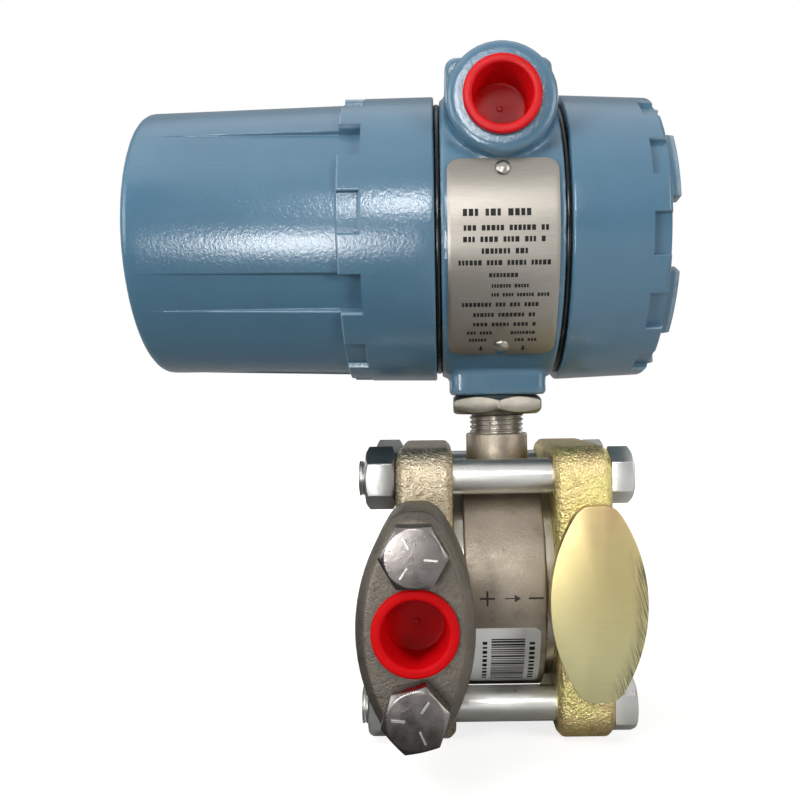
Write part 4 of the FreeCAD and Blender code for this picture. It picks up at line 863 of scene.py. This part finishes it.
platePrint = {
    "thick": 0.04, "seed": 11, "arrows": (-6.4, 6.8), "arrowTop": 60.6, "arrowSize": 1.2,
    "rows": [(17.0, 2.1, -12.0, 8.6), (21.5, 1.6, -11.8, 13.4), (24.8, 1.6, -12.0, 13.0), (28.2, 1.6, -6.6, 8.0),
             (31.6, 1.5, -13.4, 14.4), (35.3, 1.3, -4.4, 5.6), (38.6, 1.1, -3.6, 8.0), (41.4, 1.1, -3.6, 14.6),
             (44.6, 1.35, -12.4, 11.6), (48.1, 1.35, -9.0, 10.4), (51.6, 1.35, -9.0, 11.0), (54.9, 1.2, -10.8, -3.0),
             (54.9, 1.2, 2.6, 12.4), (57.9, 1.2, -10.2, -3.6), (57.9, 1.2, 4.0, 11.0)],
}


def makePlatePrint(s):
    bars = wordBlocks(s["rows"], s["seed"])
    for x in s["arrows"]:
        bars += arrowDown(x, s["arrowTop"], s["arrowSize"])
    return buildMesh("platePrint", [raisedBars(bars, onPlate, s["thick"])])


addPiece("nameplateSheet", makeNameplate(nameplate), "housing", "plateSteel", ["nameplate"], 40)
addPiece("driveScrews", makeDriveScrews(driveScrew), "housing", "turnedSteel",
         ["nameplate_screws"], 40)
addPiece("nameplatePrint", makePlatePrint(platePrint), "housing", "ink")
print("nameplate made")


# sensor module: drum, neck stub, threaded neck

module = {"radius": 36.0, "half": 12.7, "edge": 0.9, "shoulder": 33.0, "recess": 23.0, "recessDepth": 0.8,
          "stub": 10.6, "stubBottom": 60, "stubTop": 95.5, "neck": 9.3, "neckTop": 119.0, "pitch": 1.6,
          "threadDepth": 0.75}


def makeModule(s):
    half, rim = s["half"], (s["radius"], s["edge"])
    drum = turnedShell([(-half, 0), (-half, *rim), (half, *rim), (half, 0)], moduleMiddle, "X", 240)
    stub = turnedShell([(s["stubBottom"], 0), (s["stubBottom"], s["stub"]), (s["stubTop"], s["stub"], s["edge"]),
                        (s["stubTop"], 0)])
    thread = threadShell(s["neck"], s["threadDepth"], s["pitch"], s["stubTop"] - 0.6, s["neckTop"], (0, 0, 0),
                         "Z", 72)
    root, deep = half - 0.5, flangeIn - s["recessDepth"]
    face = [(root, 0), (root, s["shoulder"]), (flangeIn, s["shoulder"], 0.3), (flangeIn, s["recess"]),
            (deep, s["recess"] - s["recessDepth"]), (deep, 0)]
    shoulders = [turnedShell(face, moduleMiddle, axis, 240) for axis in ("X", "-X")]
    return (buildMesh("moduleDrum", [drum, stub]), buildMesh("moduleShoulders", shoulders),
            buildMesh("neckThread", [thread]))


lockNut = {"across": 29.6, "height": 6.5, "bottom": 102.0, "hole": 9.4, "spin": 30, "bevel": 0.25}


def makeLockNut(s):
    nut = hexShell(s["across"], s["height"], (0, 0, s["bottom"]), "Z", s["spin"], (True, True), s["hole"])
    return bevelled(buildMesh("lockNut", [nut]), s["bevel"])


drumMesh, shoulderMesh, threadMesh = makeModule(module)
addPiece("moduleDrum", drumMesh, "sensor_body", "moduleSteel", ["sensor_module"])
addPiece("moduleShoulders", shoulderMesh, "sensor_body", "turnedSteel", ["sensor_module"])
addPiece("neckThread", threadMesh, "sensor_body", "turnedSteel", ["sensor_module"], 60)
addPiece("lockNut", makeLockNut(lockNut), "sensor_body", "lockSteel", ["neck_lock_nut"])


def onDrum(x, angle, lift=0):
    # a point by its X and its angle up from the front of the drum, in degrees
    return onCylinder(x, np.radians(np.asarray(angle, float)), module["radius"] + lift, moduleZ)


drumDegree = math.radians(1) * module["radius"]
sticker = {"x": (-11.6, 10.6), "angles": (-57.0, -15.0), "thick": 0.12, "inkThick": 0.03, "seed": 5,
           "columns": 23, "rows": 25, "corner": 1.6, "stripes": (7.0, 17.4), "dashes": ((5.0, 1.4), (19.6, 1.7)),
           "dashGap": 1.3}


def makeSticker(s):
    # paper sheet on the drum; both ends draw in along quarter circles so that the corners are round
    lowX, highX = s["x"]
    across, along = np.linspace(-1, 1, s["columns"]), np.linspace(*s["angles"], s["rows"])
    fromEnd = np.minimum(along - s["angles"][0], s["angles"][1] - along) * drumDegree
    x = (lowX + highX) / 2 + drawnIn((highX - lowX) / 2, s["corner"], fromEnd)[:, None] * across
    angle = along[:, None] + 0 * x
    sheets = np.concatenate([onDrum(x, angle, lift).reshape(-1, 3) for lift in (0.01, s["thick"])])
    rows, columns, count = s["rows"], s["columns"], x.size
    last = (rows - 1) * columns
    border = np.concatenate([np.arange(columns - 1), np.arange(rows - 1) * columns + columns - 1,
                             last + np.arange(columns - 1, 0, -1), np.arange(rows - 1, 0, -1) * columns])
    following = np.roll(border, -1)
    rim = np.stack([border, following, following + count, border + count], -1)
    top = gridFaces(rows, columns, False)
    return buildMesh("sticker", [(sheets, np.concatenate([top, top + count, rim]))])


def makeStickerPrint(s):
    # stripes of three weights, and a column of dashes on each side of them
    random = np.random.default_rng(s["seed"])
    left, (low, high) = s["x"][0], s["angles"]
    bars, start = [], low + 4
    while start < high - 5:
        width = random.choice([0.45, 0.7, 1.1])
        bars.append((left + s["stripes"][0], left + s["stripes"][1], start, start + width))
        start += width + random.choice([0.5, 0.7, 1.0])
    for x, weight in s["dashes"]:
        start = low + 5
        while start < high - 7:
            length = random.uniform(1.2, 2.4)
            bars.append((left + x - weight / 2, left + x + weight / 2, start, start + length))
            start += length + s["dashGap"]
    return buildMesh("stickerPrint", [raisedBars(bars, onDrum, s["inkThick"], s["thick"])])


sideMarks = {"plus": -5.8, "minus": 9.1, "arrow": 1.7, "reach": 2.3, "weight": 0.6, "stemBack": 2.2,
             "stemFront": 0.8, "headLength": 1.8, "headHalf": 1.1, "thick": 0.03}


def makeSideMarks(s):
    # plus on the high side, minus on the low side, a small arrow between: thin raised bars whose dark colour is
    # painted shade standing in for engraved grooves
    tall, thin, half = s["reach"] / drumDegree, s["weight"] / 2 / drumDegree, s["weight"] / 2
    plus, minus, reach, stemEnd = s["plus"], s["minus"], s["reach"], s["arrow"] + s["stemFront"]
    bars = [(plus - reach, plus + reach, -thin, thin), (plus - half, plus + half, thin, tall),
            (plus - half, plus + half, -tall, -thin), (minus - reach, minus + reach, -thin, thin),
            (s["arrow"] - s["stemBack"], stemEnd, -thin * 0.6, thin * 0.6)]
    steps = np.linspace(0, 1, 6)
    for low, high in zip(steps[:-1], steps[1:]):
        wide = s["headHalf"] / drumDegree * (1 - low)
        bars.append((stemEnd + s["headLength"] * low, stemEnd + s["headLength"] * high, -wide, wide))
    return buildMesh("sideMarks", [raisedBars(bars, onDrum, s["thick"])])


addPiece("stickerSheet", makeSticker(sticker), "sensor_body", "paper")
addPiece("stickerPrint", makeStickerPrint(sticker), "sensor_body", "ink")
addPiece("sideMarks", makeSideMarks(sideMarks), "sensor_body", "engravingShade")
print("module made")


# process flanges

flange = {
    "thick": 18.0, "depth": 34.0, "top": 92.0, "corner": 9.5, "edge": 2.0, "lens": (28.8, 58.0, 9.7, 3.0),
    "rim": 4.6, "taper": 38.0, "boltY": 23.5, "boltZ": 36.2, "boltHole": 5.95, "bracketHole": 4.95,
    "adapterHole": 5.65, "holeDepth": 14, "groove": (27.1, 29.9, 2), "passage": 4, "ventFrom": 28, "ventHole": 6.7,
    "voxel": 0.7, "relax": 4,
}
boltPlaces = [(y * flange["boltY"], moduleZ + z * flange["boltZ"]) for y in (-1, 1) for z in (-1, 1)]
portHoles = (moduleZ - pitchZ, moduleZ + pitchZ)


def grooveShell(inner, outer, depth, at, axis, count):
    # ring that a seal groove is cut with
    return turnedShell([(-1, inner), (-1, outer), (depth, outer), (depth, inner), (-1, inner)], at, axis, count)


def slabOutline(s, inset):
    return roundedRectangle(inset - s["top"], -inset, inset - s["depth"], s["depth"] - inset,
                            s["corner"] - inset, 14)


def lensAt(s, inset):
    width, length, tip, tipRound = s["lens"]
    return lensOutline(width - 2 * inset, length - 2 * inset, max(tip - inset * 0.7, 2.5),
                       max(tipRound - inset * 0.3, 1.0))


def makeFlange(s, side):
    lowX, axisX, middleX = (flangeIn, "X", -portX) if side > 0 else (-flangeOut, "-X", portX)
    outlines = [slabOutline(s, inset) for inset in (s["edge"], 0, 0, s["edge"])]
    shells = [loftShell(outlines, [0, s["edge"], s["thick"] - s["edge"], s["thick"]], (lowX, 0, 0), "X")]
    base, slope = s["depth"] - 1, math.tan(math.radians(s["taper"]))
    for axis, reach in (("-Y", bossFront), ("Y", rearFace)):
        rimStart = reach - s["rim"]
        neck = [lensAt(s, inset) for inset in ((rimStart - base) * slope, 0, 0)]
        shells.append(loftShell(neck, [base, rimStart, reach], (middleX, 0, moduleZ), axis))
    cutters = [rod(s["boltHole"], -past, s["thick"] + past, (lowX, y, z), "X", 48) for y, z in boltPlaces]
    cutters += [rod(s["bracketHole"], rearFace - s["holeDepth"], rearFace + past, (middleX, 0, z), "Y", 48)
                for z in portHoles]
    cutters.append(grooveShell(*s["groove"], (side * flangeIn, 0, moduleZ), axisX, 120))
    if side < 0:
        front, back, floor = -bossFront - past, rearFace + past, s["holeDepth"] - bossFront
        cutters += [rod(s["adapterHole"], front, floor, (portX, 0, z), "Y", 48) for z in portHoles]
        cutters.append(steppedRod([(s["passage"], front, s["ventFrom"]), (s["ventHole"], s["ventFrom"], back)],
                                  (portX, 0, moduleZ), "Y"))
    return castSkin("flangeSkin", shells, [cutters], s["voxel"], s["relax"])


ovalFace = {"inset": 0.5, "proud": 0.05, "start": 0.6, "full": 1.4, "bevel": 0.35}


def makeOvalFace(s):
    # the machined oval of the blank flange, proud of the cast skin by a hair
    outlines = [lensAt(flange, inset) for inset in (s["inset"], -s["proud"], -s["proud"])]
    base = bossFront - flange["rim"]
    levels = [base + s["start"], base + s["full"], bossFront + s["proud"]]
    shell = loftShell(outlines, levels, (-portX, 0, moduleZ), "-Y")
    return bevelled(buildMesh("ovalFace", [shell]), s["bevel"], 40)


addPiece("highFlangeCasting", makeFlange(flange, -1), "sensor_body", "castSteel",
         ["high_side_flange"], 35)
addPiece("blankFlangeCasting", makeFlange(flange, 1), "sensor_body", "goldZinc",
         ["low_side_blank_flange"], 35)
addPiece("blankFlangeFace", makeOvalFace(ovalFace), "sensor_body", "faceGold")
print("flanges made")


# bolts and nuts

fastener = {"radius": 5.55, "headAcross": 15.9, "head": 7.3, "nutAcross": 17.5, "nut": 9.5, "tail": 2.0,
            "pitch": 1.27, "depth": 0.55, "threaded": 16.0, "bevel": 0.22}


def makeFlangeBolts(s):
    end = 2 * flangeOut + s["nut"] + s["tail"]
    heads, shanks = [], []
    for y, z in boltPlaces:
        at = (flangeOut, y, z)
        heads.append(hexShell(s["headAcross"], s["head"], at, "X"))
        shanks.append(rod(s["radius"], -0.5, end - s["threaded"], at, "-X"))
        shanks.append(threadShell(s["radius"], s["depth"], s["pitch"], end - s["threaded"], end, at, "-X"))
    return headedMesh("flangeBolts", heads, shanks, s["bevel"])


def makeFlangeNuts(s):
    return bevelled(buildMesh("flangeNuts", [
        hexShell(s["nutAcross"], s["nut"], (-flangeOut, y, z), "-X", 0, (True, True), s["radius"] + 0.1)
        for y, z in boltPlaces]), s["bevel"])


addPiece("flangeBolts", makeFlangeBolts(fastener), "sensor_body", "brightZinc",
         ["flange_bolts"], 28)
addPiece("flangeNuts", makeFlangeNuts(fastener), "sensor_body", "nutZinc", ["flange_nuts"], 28)


# flange adapter with its two bolts

adapter = {"lens": (32.0, 63.0, 10.0, 3.5), "thick": 27.6, "bevel": 2.4, "port": 10.5, "portDepth": 21.0,
           "passage": 4.0, "boltHole": 5.95, "groove": (9.2, 11.8, 1.8), "spins": (12.0, 0.0), "grip": 13.0,
           "voxel": 0.5, "relax": 4}


def makeAdapter(s):
    width, length, tip, tipRound = s["lens"]
    bevel, thick, back = s["bevel"], s["thick"], (portX, -bossFront, moduleZ)
    full = lensOutline(*s["lens"])
    front = lensOutline(width - 2 * bevel, length - 2 * bevel, tip - bevel, tipRound - 0.5)
    block = loftShell([full, full, front], [0, thick - bevel, thick], back, "-Y")
    port = steppedRod([(s["port"], -past, s["portDepth"]), (s["passage"], s["portDepth"], thick + past)],
                      (portX, -adapterFront, moduleZ), "Y", 96)
    holes = [rod(s["boltHole"], -past, thick + past, (portX, -adapterFront, z), "Y", 48) for z in portHoles]
    groove = grooveShell(*s["groove"], back, "-Y", 96)
    return castSkin("adapterSkin", [block], [[port, *holes, groove]], s["voxel"], s["relax"])


gradeMark = {"inner": 2.6, "outer": 6.3, "half": 0.28, "corner": 0.2, "rise": 0.3, "turns": (90, 210, 330),
             "leans": (73, 25)}


def makeAdapterBolts(s, mark):
    heads, shanks, marks = [], [], []
    bar = roundedRectangle(mark["inner"], mark["outer"], -mark["half"], mark["half"], mark["corner"], 5)
    levels = [s["head"] - 0.3, s["head"] + mark["rise"] * 0.5, s["head"] + mark["rise"]]
    for z, spin, lean in zip(portHoles, adapter["spins"], mark["leans"]):
        at = (portX, -adapterFront, z)
        heads.append(hexShell(s["headAcross"], s["head"], at, "-Y", spin))
        shanks.append(rod(s["radius"], -0.5, adapter["thick"] + adapter["grip"], at, "Y"))
        for turn in mark["turns"]:
            angle = math.radians(turn + spin + lean)
            turned = bar @ np.array([[math.cos(angle), math.sin(angle)], [-math.sin(angle), math.cos(angle)]])
            middle = turned.mean(0)
            marks.append(loftShell([turned, turned, middle + (turned - middle) * 0.93], levels, at, "-Y"))
    return headedMesh("adapterBolts", heads, shanks, s["bevel"]), buildMesh("gradeMarks", marks)


boltMesh, markMesh = makeAdapterBolts(fastener, gradeMark)
addPiece("adapterForging", makeAdapter(adapter), "sensor_body", "adapterSteel",
         ["flange_adapter"], 35)
addPiece("adapterBolts", boltMesh, "sensor_body", "boltZinc", ["adapter_bolts"], 28)
addPiece("gradeMarks", markMesh, "sensor_body", "brightZinc")


# vent valve at the back

vent = {"place": (portX, rearFace, moduleZ), "across": 15.9, "height": 9.0, "thread": 6.6, "threadLength": 12.0,
        "bore": 3.7, "boreDepth": 9, "orifice": 1.8, "seatBevel": 0.25, "stem": 3.6, "stemCone": 6,
        "stemAcross": 8.0, "stemHead": 7.0, "stemBevel": 0.2}


def makeVentSeat(s):
    body = hexShell(s["across"], s["height"], s["place"], "Y", 0, (False, True), s["bore"])
    start, floor = (-s["threadLength"], s["orifice"]), -s["boreDepth"]
    tube = turnedShell([start, (-s["threadLength"], s["thread"]), (0.5, s["thread"]), (0.5, s["bore"]),
                        (floor, s["bore"]), (floor, s["orifice"]), start], s["place"], "Y", 64)
    return headedMesh("ventSeat", [body], [tube], s["seatBevel"])


def makeVentStem(s):
    x, y, z = s["place"]
    head = hexShell(s["stemAcross"], s["stemHead"], (x, y + s["height"] + 1, z), "Y", 0, (True, True))
    floor, end = -s["boreDepth"], s["height"] + 1.5
    shank = turnedShell([(floor, 0), (floor, s["orifice"]), (-s["stemCone"], s["stem"]), (end, s["stem"]), (end, 0)],
                        s["place"], "Y", 48)
    return headedMesh("ventStem", [head], [shank], s["stemBevel"])


addPiece("ventSeat", makeVentSeat(vent), "sensor_body", "turnedSteel", ["vent_valve_seat"])
addPiece("ventStem", makeVentStem(vent), "vent_stem", "turnedSteel", ["vent_valve_stem"])
print("bolts and valve made")


# solids that stay as they are, by finish

nodeFinishes = {
    "whiteSeal": ("high_side_seal", "low_side_seal", "adapter_seal"),
    "brass": ("zero_screw", "span_screw", "board_posts", "board_spacers"),
    "moulding": ("terminal_block",),
    "turnedSteel": ("terminal_screws", "terminal_block_screws", "ground_screw", "board_screws"),
    "laminate": ("amplifier_board", "calibration_board"),
}
for finish, labels in nodeFinishes.items():
    for label in labels:
        nodes[label].data.materials.clear()
        nodes[label].data.materials.append(finishes[finish])


# floor, light and camera

stage = {"floorHalf": 4.0, "floorDrop": 0.0003, "floorTones": ((0.35, 0.35, 0.345, 1), (0.37, 0.37, 0.365, 1)),
         "nearGlow": 0.78, "farGlow": 1.0, "glowFrom": 0.22, "glowTo": 0.75, "worldDiffuse": 0.08}


def flatDistance(tree):
    # distance from the vertical axis, with the coordinates
    parts = addNode(tree, "SeparateXYZ", Vector=objectCoordinates(tree)).outputs
    squares = (mathNode(tree, "POWER", parts[label], 2.0) for label in "XY")
    return mathNode(tree, "SQRT", mathNode(tree, "ADD", *squares)), parts


def makeFloor(s):
    corners = np.array([(-1, -1), (1, -1), (1, 1), (-1, 1)]) * s["floorHalf"]
    mesh = rawMesh("floor", [(x, y, -s["floorDrop"]) for x, y in corners], [(0, 1, 2, 3)])
    material, tree, surface = newMaterial("floor", Roughness=0.9, Emission_Color=white)
    first, second = s["floorTones"]
    tone = useGroup(tree, "patches", Scale=2.0, Low=0.3, High=0.7, First=first, Second=second)["Colour"]
    glow = ramp(tree, flatDistance(tree)[0], s["glowFrom"], s["glowTo"], s["nearGlow"], s["farGlow"])
    seen = addNode(tree, "LightPath").outputs["Is Camera Ray"]
    feed(tree, surface["Base Color"], tone)
    feed(tree, surface["Emission Strength"], mathNode(tree, "MULTIPLY", glow, seen))
    mesh.materials.append(material)
    floor = linked("floor", mesh)


def makeWorld(s):
    # white to the camera and to reflections, dim as a light
    world = bpy.data.worlds.new("studio")
    bpy.context.scene.world = world
    world.use_nodes = True
    tree = world.node_tree
    background = tree.nodes["Background"].inputs
    background["Color"].default_value = white
    rays = addNode(tree, "LightPath").outputs
    seen = mathNode(tree, "MAXIMUM", rays["Is Camera Ray"], rays["Is Glossy Ray"])
    seen = mathNode(tree, "MAXIMUM", seen, rays["Is Transmission Ray"])
    feed(tree, background["Strength"], ramp(tree, seen, 0.0, 1.0, s["worldDiffuse"], 1.0, "LINEAR"))


surround = {"inner": 0.04, "outer": 1.7, "lift": 0.004, "height": 3.5, "wallGrey": 0.16, "topGrey": 0.75,
            "leftGrey": 0.07, "rightGrey": 0.66, "rightFrom": -0.02, "rightTo": 0.02, "floorFrom": 0.045,
            "floorTo": 0.09, "bendFrom": 0.005, "bend": 0.12, "topFrom": 2.0, "backGrey": 0.3, "backFrom": -0.1,
            "backTo": 0.2, "frontFrom": -0.16, "frontTo": -0.1, "frontShift": 0.015}


def glossyOnly(name, mesh, material):
    mesh.materials.append(material)
    item = linked(name, mesh)
    item.visible_camera = item.visible_diffuse = item.visible_shadow = item.visible_transmission = False


def makeSurround(s):
    # dim room round the object that only reflections see: a ring on the floor and a wall, both fading out
    profile = np.array([(s["lift"], s["inner"]), (s["lift"], s["outer"]), (s["height"], s["outer"])]) / mm
    material, tree, surface = newMaterial("surround", Roughness=1.0, Base_Color=black, Specular_IOR_Level=0.0,
                                          Emission_Color=white)
    distance, parts = flatDistance(tree)
    height = parts["Z"]
    front = ramp(tree, parts["Y"], s["frontFrom"], s["frontTo"], s["frontShift"], 0.0)
    leaning = mathNode(tree, "ADD", parts["X"], front)
    floorTone = ramp(tree, leaning, s["rightFrom"], s["rightTo"], s["leftGrey"], s["rightGrey"])
    wallTone = ramp(tree, height, 0.0, s["topFrom"], s["wallGrey"], s["topGrey"])
    grey = mixValues(tree, ramp(tree, height, s["bendFrom"], s["bend"]), floorTone, wallTone)
    grey = mixValues(tree, ramp(tree, parts["Y"], s["backFrom"], s["backTo"]), grey, s["backGrey"])
    inward = ramp(tree, distance, s["floorFrom"], s["floorTo"])
    upward = ramp(tree, height, s["topFrom"], s["height"], 1.0, 0.0)
    feed(tree, surface["Emission Strength"], grey)
    feed(tree, surface["Alpha"], mathNode(tree, "MULTIPLY", inward, upward))
    glossyOnly("surround", buildMesh("surround", [turnedShell(profile)]), material)


cards = {
    "lowCard": {"at": (-0.175, -0.55, 0.075), "size": (0.13, 0.13), "turn": 0, "strength": 20.0},
    "highCard": {"at": (-0.05, -0.55, 0.35), "size": (0.1, 0.12), "turn": 0, "strength": 25.0},
    "leftFlag": {"at": (-0.1295, -0.075, 0.155), "size": (0.027, 0.1), "turn": 0, "strength": 0.0},
    "leftCard": {"at": (-0.9, -0.6, 0.42), "size": (0.6, 0.7), "turn": -56, "strength": 3.0},
    "rightCard": {"at": (0.9, -0.6, 0.42), "size": (0.6, 0.7), "turn": 56, "strength": 3.0},
    "backLeftCard": {"at": (-0.8, 0.75, 0.4), "size": (0.5, 0.6), "turn": 47, "strength": 1.8},
    "backRightCard": {"at": (0.7, 0.85, 0.4), "size": (0.5, 0.6), "turn": -39, "strength": 1.8},
}


def makeCard(label, s):
    # upright panel that only reflections see, turned about the vertical; the flag is a dark one
    turn, (width, height) = math.radians(s["turn"]), s["size"]
    across, up = width / 2 * np.array([math.cos(turn), math.sin(turn), 0]), np.array([0, 0, height / 2])
    corners = np.array(s["at"]) + [-across - up, across - up, across + up, up - across]
    material = newMaterial(label, Base_Color=black, Emission_Color=white, Emission_Strength=s["strength"])[0]
    glossyOnly(label, rawMesh(label, corners, [(0, 1, 2, 3)]), material)


lamps = {
    "keyLamp": {"at": (-0.45, -0.5, 0.95), "aim": (-0.02, 0, 0.13), "size": (0.7, 0.5), "power": 6.0},
    "topLamp": {"at": (0.1, 0.1, 1.0), "aim": (0, 0, 0.15), "size": (0.9, 0.4), "power": 1.2},
    "leftLamp": {"at": (-1.0, -0.85, 0.36), "aim": (-0.03, 0, 0.12), "size": (0.4, 0.3), "power": 8.5},
    "rightLamp": {"at": (0.9, -0.9, 0.36), "aim": (0, 0, 0.12), "size": (0.4, 0.3), "power": 7.5},
    "backLamp": {"at": (-0.75, 1.0, 0.6), "aim": (0, 0, 0.13), "size": (0.5, 0.4), "power": 9.0},
    "backSideLamp": {"at": (1.0, 0.8, 0.5), "aim": (0, 0, 0.13), "size": (0.5, 0.4), "power": 6.0},
}


def makeLamp(label, s):
    # soft light that reflections don't see, since the cards stand in for it there
    light = bpy.data.lights.new(label, "AREA")
    light.shape = "RECTANGLE"
    light.size, light.size_y = s["size"]
    light.energy = s["power"]
    lamp = linked(label, light)
    lamp.location = s["at"]
    lamp.rotation_euler = (Vector(s["aim"]) - Vector(s["at"])).to_track_quat("-Z", "Y").to_euler()
    lamp.visible_glossy = False


view = {"focal": 850.0, "at": (-0.0191, -0.295, 0.107), "middle": 441.0, "roll": -0.8, "frame": 800.0,
        "near": 0.01}


def makeCamera(s):
    # looks along +Y; roll leans the object's left side down; shift brings the optical axis to its pixel
    data = bpy.data.cameras.new("camera")
    data.lens = s["focal"] / s["frame"] * data.sensor_width
    data.shift_x = (s["frame"] / 2 - s["middle"]) / s["frame"]
    data.clip_start = s["near"]
    lean = math.radians(s["roll"])
    c, t = math.cos(lean), math.sin(lean)
    x, y, z = s["at"]
    camera = linked("camera", data)
    camera.matrix_world = Matrix(((c, -t, 0, x), (0, 0, -1, y), (t, c, 0, z), (0, 0, 0, 1)))
    bpy.context.scene.camera = camera


for label, s in lamps.items():
    makeLamp(label, s)
makeFloor(stage)
makeWorld(stage)
makeSurround(surround)
for label, s in cards.items():
    makeCard(label, s)
makeCamera(view)
bpy.context.scene.view_settings.view_transform = "Standard"
print("stage made")
